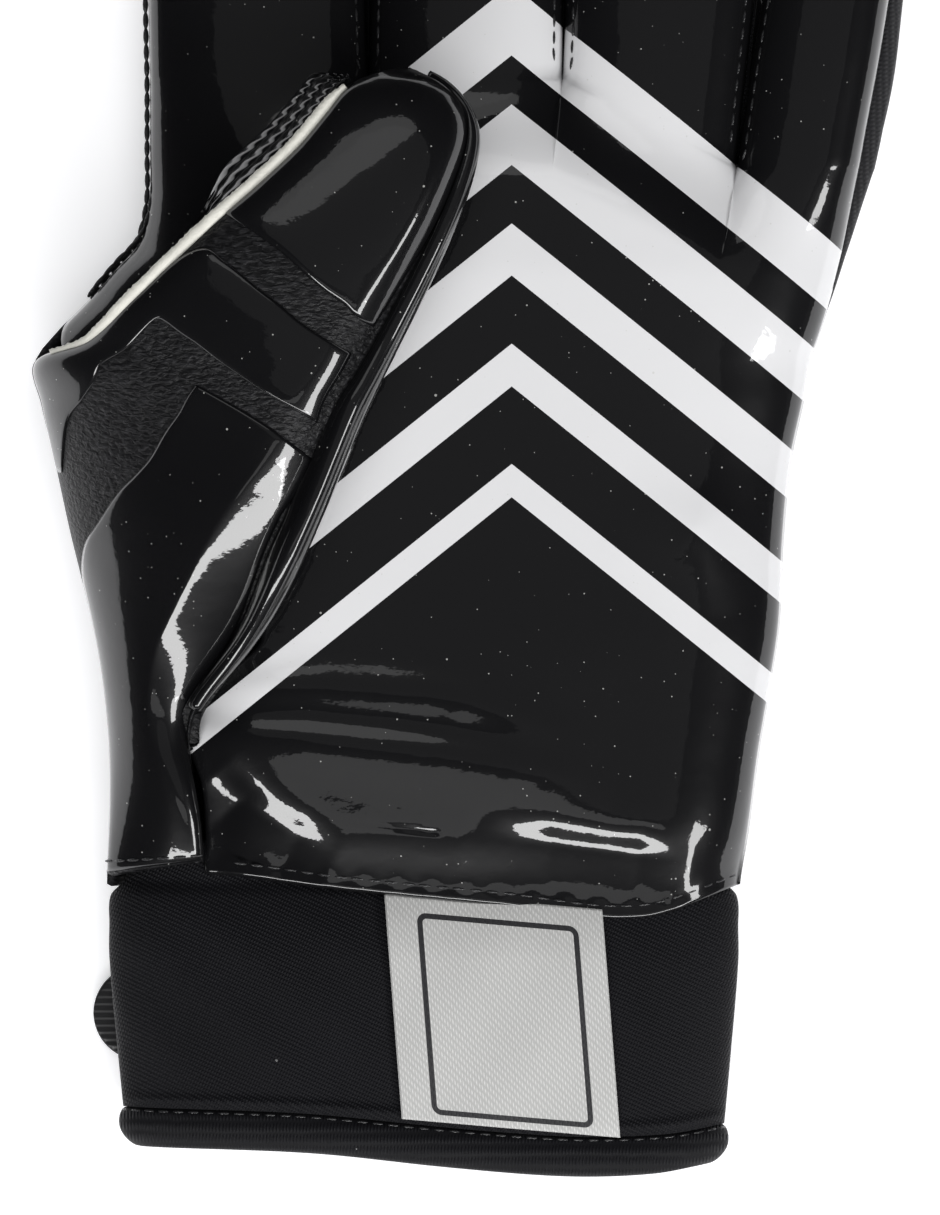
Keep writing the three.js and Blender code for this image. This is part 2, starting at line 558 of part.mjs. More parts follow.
// The pale raw edge of the laminate follows the thumb's upper seam.
function thumbCoreEdge() {
  const last = THUMB_TIP - 3;
  const sections = [];
  for (let section = SEAM_START + 1; section <= last; section += 0.5) {
    const p = thumbEdge("left", section);
    const along = thumbEdge("left", section + 0.1).sub(thumbEdge("left", section - 0.1)).setZ(0).normalize();
    const out = UP.clone().cross(along);
    const near = p.clone().addScaledVector(out, SEAM_GAP * 1.5);
    const far = near.clone().addScaledVector(out, CORE_WIDTH);
    sections.push([near, far].flatMap((q) => [-1, 1].map((s) => q.clone().addScaledVector(UP, (s * CORE_HEIGHT) / 2))));
  }
  const faces = [];
  const loop = [0, 2, 3, 1];
  sections.slice(1).forEach((_, i) => {
    loop.forEach((a, k) => {
      const b = loop[(k + 1) % 4];
      faces.push(i * 4 + a, i * 4 + b, i * 4 + 4 + b, i * 4 + a, i * 4 + 4 + b, i * 4 + 4 + a);
    });
  });
  const end = (sections.length - 1) * 4;
  faces.push(0, 3, 2, 0, 1, 3, end, end + 2, end + 3, end, end + 3, end + 1);
  return new THREE.BufferGeometry().setFromPoints(sections.flat()).setIndex(faces);
}

// Cuff

const STRAP_GAP = 0.3;
const CUFF_BASE = STRAP_THICKNESS + STRAP_GAP;
const droopAt = (across) => read(DROOP, "drop", across, "across") * CUFF_LENGTH;

// A point of the cuff's outline at a turn round it, inset by some wall, at a distance below the seam.
function cuffPoint(turn, below, inset) {
  const down = below / CUFF_LENGTH;
  const half = read(CUFF, "half", down, "down") * WRIST_WIDTH - inset;
  const rise = read(CUFF, "rise", down, "down") * CUFF_RISE;
  const across = Math.sign(Math.cos(turn)) * Math.abs(Math.cos(turn)) ** 0.6;
  const high = Math.sign(Math.sin(turn)) * Math.abs(Math.sin(turn)) ** 0.8;
  const droop = droopAt(across) * clamp(down);
  const z = CUFF_BASE + rise / 2 + high * (rise / 2 - inset);
  return new THREE.Vector3(across * half, -below - droop, z);
}

const turns = Array.from({ length: ROUND_COLUMNS }, (_, k) => (2 * Math.PI * k) / ROUND_COLUMNS);
const cuffRing = (below, inset) => turns.map((turn) => cuffPoint(turn, below, inset));

function cuffBand() {
  const rows = CUFF.map(({ down }, i) => (i === 0 ? -CUFF_TUCK : down * CUFF_LENGTH));
  const outside = rows.map((below) => cuffRing(below, 0));
  const inside = [...rows].reverse().map((below) => cuffRing(below, CUFF_WALL));
  return ringOf([...outside, ...inside]);
}

// The rolled hem: a closed roll whose section is an oval around the cuff's wall.
function cuffBinding() {
  const sides = 8;
  const roll = [];
  for (let k = 0; k < sides; k++) {
    const turn = (2 * Math.PI * (k + 0.5)) / sides;
    const below = CUFF_LENGTH + SEAM_GAP + (BINDING_WIDTH / 2) * (1 - Math.cos(turn) / Math.cos(Math.PI / sides));
    const inset = CUFF_WALL / 2 - (CUFF_WALL / 2 + BINDING_SWELL) * Math.sin(turn);
    roll.push(cuffRing(below, inset));
  }
  return ringOf(roll);
}

// The label lies on the cuff's upper side, its top edge under the palm's hem.
function label() {
  const top = (x, y) => {
    const below = -y;
    let low = 0;
    let high = Math.PI;
    for (let i = 0; i < 24; i++) {
      const turn = (low + high) / 2;
      if (cuffPoint(turn, below, 0).x > x) low = turn;
      else high = turn;
    }
    return cuffPoint(low, below, 0).z;
  };
  const slope = THREE.MathUtils.degToRad(LABEL_SLOPE);
  const lean = THREE.MathUtils.degToRad(LABEL_LEAN);
  const middleY = -hemDrop(0.7) - SEAM_GAP * 3 - LABEL_LENGTH / 2;
  const steps = [0, 0.2, 0.4, 0.6, 0.8, 1];
  const gridAt = (height) => steps.map((t) => steps.map((s) => {
    const across = (s - 0.5) * LABEL_WIDTH;
    const up = (t - 0.5) * LABEL_LENGTH;
    const x = LABEL_MIDDLE + across * Math.cos(slope) - up * Math.sin(lean);
    const y = middleY + across * Math.sin(slope) + up * Math.cos(lean);
    return new THREE.Vector3(x, y, top(x, y) + height);
  }));
  return slabOf(gridAt(SEAM_GAP + LABEL_THICKNESS), gridAt(SEAM_GAP));
}

// The closure strap under the cuff, narrowed to a round pull tab.
function wristStrap() {
  const tip = -WRIST_WIDTH / 2 - TAB_REACH;
  const neck = tip + TAB_LENGTH;
  const shoulder = neck + (STRAP_WIDTH - TAB_WIDTH) / 2;
  const end = shoulder + STRAP_LENGTH;
  const shape = new THREE.Shape()
    .moveTo(end, -STRAP_WIDTH / 2)
    .lineTo(end, STRAP_WIDTH / 2)
    .lineTo(shoulder, STRAP_WIDTH / 2)
    .lineTo(neck, TAB_WIDTH / 2)
    .absarc(tip + TAB_WIDTH / 2, 0, TAB_WIDTH / 2, Math.PI / 2, (3 * Math.PI) / 2, false)
    .lineTo(neck, -TAB_WIDTH / 2)
    .lineTo(shoulder, -STRAP_WIDTH / 2)
    .lineTo(end, -STRAP_WIDTH / 2);
  const strap = new THREE.ExtrudeGeometry(shape, { depth: STRAP_THICKNESS, bevelEnabled: false, curveSegments: 10 });
  return strap.translate(0, -(CUFF_LENGTH + BINDING_WIDTH) / 2, 0);
}

const GLOSS_BLACK = 0x0b0b0c;
const KNIT_BLACK = 0x141416;
const WOVEN_GREY = 0xcfcfcb;

const glove = new THREE.Group();
glove.add(part("palm_panel", palmPanel(), GLOSS_BLACK, 0.08));
glove.add(part("back_panel", backPanel(), KNIT_BLACK, 0.85));
glove.add(part("thumb_cover", thumbCover(), KNIT_BLACK, 0.6));
glove.add(part("thumb_front", thumbFront(), GLOSS_BLACK, 0.08));
for (const [name, rows] of Object.entries(PADS)) glove.add(part(name, thumbPad(rows), GLOSS_BLACK, 0.08));
glove.add(part("thumb_core_edge", thumbCoreEdge(), WOVEN_GREY, 0.9));
glove.add(part("cuff_band", cuffBand(), KNIT_BLACK, 0.9));
glove.add(part("cuff_binding", cuffBinding(), KNIT_BLACK, 0.8));
glove.add(part("label", label(), WOVEN_GREY, 0.7));
glove.add(part("wrist_strap", wristStrap(), KNIT_BLACK, 0.7));

const outline = new THREE.Box3().setFromObject(glove);
const middle = outline.getCenter(new THREE.Vector3());
glove.position.set(-middle.x, -middle.y, -outline.min.z);

export default glove;
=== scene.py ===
import math
import bpy
import numpy as np
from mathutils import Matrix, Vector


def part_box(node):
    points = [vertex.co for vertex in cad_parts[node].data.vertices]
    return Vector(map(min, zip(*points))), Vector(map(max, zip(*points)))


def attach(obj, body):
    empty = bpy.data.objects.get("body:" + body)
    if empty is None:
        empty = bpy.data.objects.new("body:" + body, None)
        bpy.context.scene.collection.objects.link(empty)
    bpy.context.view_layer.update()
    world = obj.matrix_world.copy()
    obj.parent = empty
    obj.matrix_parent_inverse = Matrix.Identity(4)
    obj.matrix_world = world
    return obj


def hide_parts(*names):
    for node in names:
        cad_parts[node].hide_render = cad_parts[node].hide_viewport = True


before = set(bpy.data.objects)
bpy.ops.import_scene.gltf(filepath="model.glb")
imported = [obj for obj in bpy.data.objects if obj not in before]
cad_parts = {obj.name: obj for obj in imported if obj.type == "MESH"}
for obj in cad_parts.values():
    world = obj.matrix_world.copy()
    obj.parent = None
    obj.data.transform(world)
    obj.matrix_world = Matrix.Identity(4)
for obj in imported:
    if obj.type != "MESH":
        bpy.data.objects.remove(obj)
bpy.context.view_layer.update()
bpy.context.scene.view_settings.view_transform = "Standard"


# Camera
# The glove was photographed from straight above with a long lens, its fingers running out of the
# top of the picture. Lengths below are in millimetres from the middle of the wrist seam.

MM = 0.001
CUFF_TUCK = 5  # length of the cuff held inside the hand, so its upper end's distance from the seam
cuff_low, cuff_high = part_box("cuff_band")
SHIFT = np.array([(cuff_low[0] + cuff_high[0]) / 2, cuff_high[1] - CUFF_TUCK * MM, 0])
VIEW_MIDDLE = np.array([5.8, 34.1, 15.0]) * MM
VIEW_HEIGHT = 0.1519
CAMERA_DISTANCE = 1.5
SENSOR = 36.0

lens = bpy.data.cameras.new("photo_camera")
lens.sensor_width = SENSOR
lens.lens = SENSOR * CAMERA_DISTANCE / VIEW_HEIGHT
camera = bpy.data.objects.new("photo_camera", lens)
camera.location = VIEW_MIDDLE + SHIFT + np.array([0, 0, CAMERA_DISTANCE])
bpy.context.collection.objects.link(camera)
bpy.context.scene.camera = camera


# Studio
# A white table, a dark ceiling and two hard-edged softboxes, low at the right and at the near side.
# The black gloss shows them as crisp bright lines, and dim panels as soft grey patches, and stays
# black elsewhere.

FLOOR_HALF = 1.6
FLOOR_DROP = 0.0001
FLOOR_WHITE = (0.88, 0.88, 0.9, 1)
FLOOR_GLOW = 0.35
ROOM_WHITE = (1.0, 1.0, 1.0, 1)
ROOM_DARK = (0.01, 0.01, 0.011, 1)


def new_material(name):
    made = bpy.data.materials.new(name)
    made.use_nodes = True
    return made, made.node_tree.nodes, made.node_tree.links, made.node_tree.nodes["Principled BSDF"]


def preset(made, values):
    """Sets a node's own sockets, each by its name."""
    for socket, value in values.items():
        made.inputs[socket].default_value = value


floor_finish, _, _, floor_shader = new_material("white_table")
preset(floor_shader, {"Base Color": FLOOR_WHITE, "Roughness": 0.9, "Specular IOR Level": 0.0,
                      "Emission Color": ROOM_WHITE, "Emission Strength": FLOOR_GLOW})
floor_mesh = bpy.data.meshes.new("table")
corners = [(x * FLOOR_HALF, y * FLOOR_HALF, -FLOOR_DROP) for x, y in ((-1, -1), (1, -1), (1, 1), (-1, 1))]
floor_mesh.from_pydata(corners, [], [(0, 1, 2, 3)])
floor_mesh.materials.append(floor_finish)
floor = bpy.data.objects.new("table", floor_mesh)
bpy.context.collection.objects.link(floor)

world = bpy.data.worlds.new("studio")
bpy.context.scene.world = world
world.use_nodes = True
room, room_links = world.node_tree.nodes, world.node_tree.links
seen = room.new("ShaderNodeLightPath")
pale = room.new("ShaderNodeBackground")
pale.inputs["Color"].default_value = ROOM_WHITE
dark = room["Background"]
dark.inputs["Color"].default_value = ROOM_DARK
either = room.new("ShaderNodeMixShader")
room_links.new(seen.outputs["Is Camera Ray"], either.inputs[0])
room_links.new(dark.outputs[0], either.inputs[1])
room_links.new(pale.outputs[0], either.inputs[2])
room_links.new(either.outputs[0], room["World Output"].inputs["Surface"])

# Azimuth is counted from +X towards +Y and elevation up from the table, both in degrees. Tall and
# wide are the panel's sizes in metres, glow its radiance, and only panels that show are reflected.
PANEL_COLUMNS = ("name", "azimuth", "elevation", "tall", "wide", "glow", "shows")
PANELS = [
    ("right_softbox", -34, 38, 0.28, 0.66, 13, True),
    ("near_softbox", -90, 40, 0.22, 1.7, 14, True),
    ("far_panel", 95, 59, 0.42, 0.9, 0.7, True),
    ("near_panel", -80, 66, 0.25, 1.0, 0.6, True),
    ("haze", 60, 78, 1.0, 1.6, 0.1, True),
    ("ceiling", 100, 84, 1.6, 1.6, 1.3, False),
]
PANEL_DISTANCE = 1.3
BRIGHT = 5  # softboxes glow more than this, and the dim panels are round
for panel_row in PANELS:
    panel = dict(zip(PANEL_COLUMNS, panel_row))
    light = bpy.data.lights.new(panel["name"], "AREA")
    light.shape = "RECTANGLE" if panel["glow"] > BRIGHT else "ELLIPSE"
    light.size = panel["tall"]
    light.size_y = panel["wide"]
    light.energy = panel["glow"] * math.pi * panel["tall"] * panel["wide"]
    lamp = bpy.data.objects.new(panel["name"], light)
    azimuth, elevation = math.radians(panel["azimuth"]), math.radians(panel["elevation"])
    flat = math.cos(elevation)
    towards = np.array([flat * math.cos(azimuth), flat * math.sin(azimuth), math.sin(elevation)])
    lamp.location = towards * PANEL_DISTANCE + VIEW_MIDDLE + SHIFT
    lamp.rotation_euler = (0, math.pi / 2 - elevation, azimuth)
    lamp.visible_glossy = panel["shows"]
    lamp.visible_camera = False
    bpy.context.collection.objects.link(lamp)


# Palm
# The palm and the fronts of the fingers are one cut piece of soft laminate with a patent gloss grip
# coating and a printed white pattern. It is sewn to the knit back along its sides and to the thumb
# along the opening at its left, and it folds where the thumb crosses it.

WRIST_WIDTH = 79.6
PALM_LENGTH = 100.6
LITTLE_CROTCH = 89.4
SEAM_HEIGHT = 8
PALM_RISE = 11
PALM_WALL = 1.2
SEAM_GAP = 0.35
FINGER_RISE = 7
CROTCH_BLEND = 13
BACK_BULGE = 3.2

HAND = {
    "up": (-0.05, 0, 0.06, 0.16, 0.24, 0.32, 0.42, 0.52, 0.6,
           0.645, 0.683, 0.721, 0.758, 0.795, 0.845, 0.907, 1),
    "left": (-0.498, -0.5, -0.496, -0.495, -0.503, -0.524, -0.553, -0.577, -0.602,
             -0.614, -0.579, -0.532, -0.492, -0.45, -0.433, -0.432, -0.432),
    "right": (0.496, 0.5, 0.513, 0.53, 0.547, 0.562, 0.568, 0.58, 0.601,
              0.61, 0.626, 0.64, 0.652, 0.663, 0.676, 0.692, 0.712),
    "rise": (0.84, 0.86, 0.93, 0.97, 0.98, 1, 1, 1, 1, 1, 1, 1, 1, 0.98, 0.95, 0.9, 0.84),
    "full": (4.6, 4.4, 4, 3.4, 3.1, 2.9, 2.8, 2.8, 2.8, 2.8, 2.8, 2.8, 2.8, 2.8, 2.8, 2.8, 2.8),
}
THUMB_OPENING = {
    "up": (-0.05, 0, 0.1, 0.18, 0.236, 0.298, 0.4, 0.52, 0.61, 0.66, 0.7, 1),
    "into": (0.16, 0.158, 0.148, 0.12, 0.165, 0.248, 0.214, 0.163, 0.1, 0.03, 0, 0),
}
HEM = {"across": (0, 0.157, 0.385, 0.62, 0.84, 1), "drop": (0.0, -0.01, 0.011, 0.029, 0.045, 0.006)}
FINGERS = [
    {"start": 0, "end": 0.308, "length": 0.735, "base": 1.0, "tip": 0.8, "lean": -1.5, "swell": 0},
    {"start": 0.308, "end": 0.581, "length": 0.805, "base": 1.0, "tip": 0.84, "lean": 0.8, "swell": 0},
    {"start": 0.581, "end": 0.826, "length": 0.745, "base": 1.0, "tip": 0.86, "lean": 4.5, "swell": 0},
    {"start": 0.826, "end": 1, "length": 0.6, "base": 1.03, "tip": 0.95, "lean": 9.5, "swell": 1},
]
FINGER_TAPER = 1.5
HEM_FALL, HEM_REACH = 1.6, 6.0
HEM_PUCKER, HEM_PITCH, HEM_INSET = 0.05, 4.2, 1.4
PUCKER_REACH = 0.8
CREASE_DEPTH, CREASE_WIDE, CREASE_UP = 1.8, 4.5, 0.2
# Each fold is a line over the palm in shares of the wrist's width and the palm's length, with its
# height in millimetres along the line and the widths of its upper and lower sides.
FOLDS = [
    {"line": ((-0.37, 0.212), (-0.335, 0.226), (-0.25, 0.236), (-0.15, 0.24), (0.01, 0.232), (0.073, 0.221),
              (0.15, 0.197), (0.28, 0.15)),
     "height": (0.5, 0.9, 1.0, 0.95, 0.95, 0.9, 0.7, 0), "above": 3.4, "below": 4.4},
    {"line": ((-0.378, 0.203), (-0.32, 0.207), (-0.2, 0.205), (-0.05, 0.196), (0.1, 0.178), (0.22, 0.148)),
     "height": (-0.6, -0.4, -0.3, -0.2, -0.2, 0), "above": 2.4, "below": 2.0},
    {"line": ((-0.378, 0.19), (-0.335, 0.179), (-0.183, 0.175), (-0.076, 0.164), (0.032, 0.155), (0.14, 0.14),
              (0.3, 0.113)),
     "height": (0.5, 0.9, 1.1, 1.1, 1.0, 0.8, 0), "above": 3.0, "below": 5.0},
    {"line": ((0.06, 0.055), (0.2, 0.043), (0.34, 0.028), (0.42, 0.02)),
     "height": (0, -1.15, -1.15, 0), "above": 2.6, "below": 12.0},
    {"line": ((-0.33, 0.13), (-0.29, 0.095), (-0.2, 0.05), (-0.14, 0.025)),
     "height": (0, -1.25, -1.15, 0), "above": 3.0, "below": 8.0},
    {"line": ((0.3, 0.47), (0.42, 0.43), (0.5, 0.34)), "height": (0, 1.0, 0), "above": 5.0, "below": 5.0},
    {"line": ((-0.05, 0.32), (0.2, 0.26), (0.4, 0.27)), "height": (0, 0.5, 0), "above": 8.0, "below": 6.0},
]


def curve(table, key, at):
    """A smooth curve through one column of a table."""
    xs = np.asarray(table[0] if isinstance(table, tuple) else table[next(iter(table))], float)
    ys = np.asarray(key if isinstance(table, tuple) else table[key], float)
    at = np.asarray(at, float)
    count = len(xs)
    before = np.maximum(np.arange(count) - 1, 0)
    after = np.minimum(np.arange(count) + 1, count - 1)
    slope = (ys[after] - ys[before]) / (xs[after] - xs[before])
    i = np.clip(np.searchsorted(xs, at, side="left") - 1, 0, count - 2)
    span = xs[i + 1] - xs[i]
    t = np.clip((at - xs[i]) / span, 0, 1)
    rise = ys[i + 1] - ys[i]
    bend = (1 - t) * (slope[i] * span - rise) - t * (slope[i + 1] * span - rise)
    return ys[i] + rise * t + t * (1 - t) * bend


def ease(t):
    t = np.clip(t, 0, 1)
    return t * t * (3 - 2 * t)


def blend(a, b, t):
    return a + (b - a) * t


def hand(key, y):
    return curve(HAND, key, np.asarray(y) / PALM_LENGTH)


def side_x(side, y):
    return hand(side, y) * WRIST_WIDTH


def opening_share(y):
    return np.maximum(0, curve(THUMB_OPENING, "into", np.asarray(y) / PALM_LENGTH))


def fold_height(x, y):
    total = np.zeros_like(x)
    for fold in FOLDS:
        line = np.array(fold["line"]) * (WRIST_WIDTH, PALM_LENGTH)
        nearest = np.full(x.shape, 1e9)
        height = np.zeros_like(x)
        for k in range(len(line) - 1):
            run = line[k + 1] - line[k]
            along = np.clip(((x - line[k][0]) * run[0] + (y - line[k][1]) * run[1]) / run.dot(run), 0, 1)
            dx = x - line[k][0] - run[0] * along
            dy = y - line[k][1] - run[1] * along
            side = np.where(run[0] * dy - run[1] * dx > 0, fold["above"], fold["below"])
            away = np.hypot(dx, dy) / side
            closer = away < nearest
            tall = blend(fold["height"][k], fold["height"][k + 1], along)
            height = np.where(closer, tall, height)
            nearest = np.where(closer, away, nearest)
        total += height * np.exp(-nearest ** 2)
    return total


def palm_height(across, x, y):
    arch = np.sqrt(np.maximum(0, 1 - np.abs(2 * across - 1) ** hand("full", y)))
    return SEAM_HEIGHT + hand("rise", y) * PALM_RISE * arch


def palm_under(x, y):
    left = side_x("left", y)
    return palm_height(np.clip((x - left) / (side_x("right", y) - left), 0, 1), x, y)


def divided_at(before, turn):
    near = np.clip(before / CROTCH_BLEND, 0, 1)
    return blend((1 - near ** 0.5) ** 1.5, ease(1 - near), np.sin(turn) ** 0.7)


def crotch_y(across):
    ring = FINGERS[2]
    over_ring = np.clip((across - ring["start"]) / (ring["end"] - ring["start"]), 0, 1)
    return blend(PALM_LENGTH, LITTLE_CROTCH, over_ring)


def finger_arch(turn):
    return np.sin(turn) ** 0.62


def shares_of(finger, columns, evenness):
    """Shares across the knuckles and turns round the finger, closer together at its sides."""
    even = np.linspace(0, 1, columns + 1)
    local = blend((1 - np.cos(np.pi * even)) / 2, even, evenness)
    across = blend(finger["start"], finger["end"], local)
    return across, np.arccos(np.clip(1 - 2 * local, -1, 1))


def seam_fall(y):
    """How far the palm sinks towards its seam with the thumb, below the point where it creases."""
    low = 1 - ease((y / PALM_LENGTH - CREASE_UP) / 0.09)
    return CREASE_DEPTH * low


def hem_fall(x_share, y):
    above_hem = y + curve(HEM, "drop", x_share) * PALM_LENGTH
    return HEM_FALL * np.exp(-((above_hem / HEM_REACH) ** 2)), above_hem


def side_fade(across):
    """1 over most of the palm, down to 0 at its sides, where the folds run out."""
    return np.clip((1 - np.abs(2 * across - 1) ** 4) * 1.6, 0, 1)


def palm_rows(share, turn, v):
    """Points of the palm's outer side at one row, from the hem at v = 0 to the crotches at v = 1."""
    left_y = blend(-HEM["drop"][0] * PALM_LENGTH, PALM_LENGTH, v)
    right_y = blend(-HEM["drop"][-1] * PALM_LENGTH, LITTLE_CROTCH, v)
    edge = opening_share(left_y) if v < 1 else 0
    across = blend(edge, 1, share)
    y = blend(-curve(HEM, "drop", across) * PALM_LENGTH, crotch_y(across), v)
    x = blend(side_x("left", left_y), side_x("right", right_y), across)
    divided = divided_at(crotch_y(across) - y, turn)
    whole = palm_height(across, x, y) + fold_height(x, y) * side_fade(across)
    beside = (across - edge) * WRIST_WIDTH
    sunk = seam_fall(left_y) * np.exp(-((beside / CREASE_WIDE) ** 2)) * (1 if edge > 0 else 0)
    fall, above_hem = hem_fall(across, y)
    near_stitches = np.exp(-(((above_hem - HEM_INSET) / PUCKER_REACH) ** 2))
    pucker = HEM_PUCKER * np.sin(2 * np.pi * x / HEM_PITCH) * near_stitches
    finger = SEAM_HEIGHT + FINGER_RISE * finger_arch(turn)
    z = np.maximum(blend(whole - sunk - fall + pucker, finger, divided), SEAM_HEIGHT + SEAM_GAP / 2)
    return np.stack([x, y, z], -1)


def finger_rows(finger, base, turn, steps, height_at):
    """Rows of points along a finger's outer side, from its base row to its tip."""
    first, last = base[0], base[-1]
    width = np.linalg.norm(last - first)
    lean = math.radians(finger["lean"])
    along = np.array([math.sin(lean), math.cos(lean)])
    middle = (first[:2] + last[:2]) / 2
    length = finger["length"] * PALM_LENGTH
    round_from = 1 - finger["tip"] * width * 0.5 / length
    rows = []
    for v in steps[1:]:
        bow = 1.0 if v < round_from else math.sqrt(max(0, 1 - ((v - round_from) / (1 - round_from)) ** 2))
        half = width / 2 * blend(finger["base"], finger["tip"], v ** FINGER_TAPER) * bow
        settle = max(float(ease(v / 0.3)), 0.2 * min(1, v / 0.08))
        z = height_at(turn, bow ** 0.7)
        below = np.clip(z / SEAM_HEIGHT, 0, 1)
        swell = finger["swell"] * BACK_BULGE * 4 * below * (1 - below) * (1 - v) * (turn > np.pi / 2)
        side = -np.cos(turn) * half + swell
        x = middle[0] + along[0] * length * v + along[1] * side
        y = middle[1] + along[1] * length * v - along[0] * side
        started = base + np.array([along[0], along[1], 0]) * length * v
        rows.append(blend(started, np.stack([x, y, z], -1), settle))
    return rows


def face_normals(points, faces):
    a, b, c, d = (points[faces[:, k]] for k in range(4))
    return np.cross(c - a, d - b)


RIM_BULGE = 0.28  # how far a rim stands out, as a share of the wall


def skin(name, points, faces, wall=0.0, level=None, finish=None):
    """A mesh object from points in millimetres. With a wall it gets an inner side and a rounded rim."""
    points = np.asarray(points, float)
    faces = np.asarray(faces, int)
    if wall:
        crossed = face_normals(points, faces)
        normals = np.zeros_like(points)
        for k in range(4):
            np.add.at(normals, faces[:, k], crossed)
        normals /= np.maximum(np.linalg.norm(normals, axis=1, keepdims=True), 1e-12)
        sides = np.concatenate([faces[:, [k, (k + 1) % 4]] for k in range(4)])
        sides = sides[sides[:, 0] != sides[:, 1]]
        count = len(points)
        forward = sides[:, 0] * count + sides[:, 1]
        backward = sides[:, 1] * count + sides[:, 0]
        rim = sides[~np.isin(forward, backward)]
        inward = -normals * wall
        if level is not None:
            edge = np.unique(rim)
            sewn = edge[level(points[edge])]
            flat = inward[sewn] * (1, 1, 0)
            inward[sewn] = flat / np.maximum(np.linalg.norm(flat, axis=1, keepdims=True), 1e-9) * wall
        inner = points + inward
        middle = points + inward * 0.5
        edge = np.unique(rim)
        outward = np.cross(points[rim[:, 1]] - points[rim[:, 0]], inward[rim[:, 0]])
        out = np.zeros_like(points)
        np.add.at(out, rim[:, 0], outward)
        np.add.at(out, rim[:, 1], outward)
        out /= np.maximum(np.linalg.norm(out, axis=1, keepdims=True), 1e-12)
        slot_of = np.full(count, -1)
        slot_of[edge] = np.arange(len(edge))
        bulge = middle[edge] - out[edge] * wall * RIM_BULGE
        ring = slot_of[rim] + 2 * count
        strip_a = np.stack([rim[:, 1], rim[:, 0], ring[:, 0], ring[:, 1]], 1)
        strip_b = np.stack([ring[:, 1], ring[:, 0], rim[:, 0] + count, rim[:, 1] + count], 1)
        faces = np.concatenate([faces, faces[:, ::-1] + count, strip_a, strip_b])
        points = np.concatenate([points, inner, bulge])
    mesh = bpy.data.meshes.new(name)
    lists = []
    for face in faces.tolist():
        kept = [v for k, v in enumerate(face) if v != face[k - 1]]
        if len(kept) > 2:
            lists.append(kept)
    mesh.from_pydata((points * MM + SHIFT).tolist(), [], lists)
    mesh.update()
    mesh.shade_smooth()
    made = bpy.data.objects.new(name, mesh)
    bpy.context.collection.objects.link(made)
    if finish:
        mesh.materials.append(finish)
    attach(made, "root")
    return made


def weave_rows(rows):
    """Quads between rows of vertex numbers."""
    rows = np.asarray(rows)
    a, b, c, d = rows[:-1, :-1], rows[:-1, 1:], rows[1:, 1:], rows[1:, :-1]
    return np.stack([a, b, c, d], -1).reshape(-1, 4)


def grid_faces(rows, columns):
    return weave_rows(np.arange(rows * columns).reshape(rows, columns))


def sheet_of_hand(rows, columns, finger_steps, row_at, height_at, facing):
    """Vertices and faces of a hand sheet: the palm's part and then each finger's."""
    points, faces, strips = [], [], []
    grid = np.zeros((len(rows), 4 * columns + 1), int)
    count = 0
    for i, v in enumerate(rows):
        evenness = 1 - ease((v - 0.55) / 0.4)
        pieces = [shares_of(f, columns, evenness) for f in FINGERS]
        share = np.concatenate([p[0][:-1] for p in pieces] + [pieces[-1][0][-1:]])
        turn = np.concatenate([p[1][:-1] for p in pieces] + [pieces[-1][1][-1:]])
        points.append(row_at(share, turn, v))
        grid[i] = np.arange(count, count + len(share))
        count += len(share)
    faces.append(weave_rows(grid))
    knuckles = points[-1]
    for i, finger in enumerate(FINGERS):
        chosen = slice(i * columns, (i + 1) * columns + 1)
        _, turn = shares_of(finger, columns, 0)
        made = finger_rows(finger, knuckles[chosen], turn, finger_steps, height_at)
        strips.append(np.stack([knuckles[chosen]] + made))
        numbers = [grid[-1, chosen]]
        for row in made[:-1]:
            points.append(row)
            numbers.append(np.arange(count, count + columns + 1))
            count += columns + 1
        points.append(made[-1][:1])
        numbers.append(np.full(columns + 1, count))
        count += 1
        faces.append(weave_rows(numbers))
    points, faces = np.concatenate(points), np.concatenate(faces)
    return points, faces if facing > 0 else faces[:, ::-1], strips


def on_seam(points):
    return np.abs(points[:, 2] - SEAM_HEIGHT) < SEAM_GAP


FINGER_STEPS = np.concatenate([np.linspace(0, 0.84, 40), 1 - 0.16 * (1 - np.linspace(0, 1, 17)[1:]) ** 2])
PALM_STEPS = np.concatenate([np.linspace(0, 0.34, 96), np.linspace(0.34, 0.86, 62)[1:],
                             np.linspace(0.86, 1, 40)[1:]])
PALM_COLUMNS = 36


def finger_front(turn, bow):
    return SEAM_HEIGHT + SEAM_GAP / 2 + FINGER_RISE * finger_arch(turn) * bow


# Gloss coating
# A thin patent coating, black with white print on the palm. It is almost a mirror, with slow waves,
# a faint grain and specks of dust.

GLOSS_BLACK = (0.0045, 0.0045, 0.005, 1)
PRINT_WHITE = (0.6, 0.6, 0.61, 1)
COAT_ROUGHNESS = 0.03
DUST_GREY = (0.45, 0.45, 0.43, 1)
DUST_COVER = 0.6
WAVES_SCALE, WAVES_DEPTH = 160, 0.0002
GRAIN_SCALE, GRAIN_DEPTH = 1500, 0.00003


def node(nodes, kind, **settings):
    made = nodes.new(kind)
    for name, value in settings.items():
        setattr(made, name, value)
    return made


def mixed(nodes, links, factor, low, high):
    """A colour between two. Each of the three is a plain value or another node's output."""
    made = node(nodes, "ShaderNodeMix", data_type="RGBA")
    for socket, value in (("Factor", factor), ("A", low), ("B", high)):
        if isinstance(value, (tuple, int, float)):
            made.inputs[socket].default_value = value
        else:
            links.new(value, made.inputs[socket])
    return made.outputs["Result"]


def toned(color, strength):
    return tuple(c * strength for c in color[:3]) + (1,)


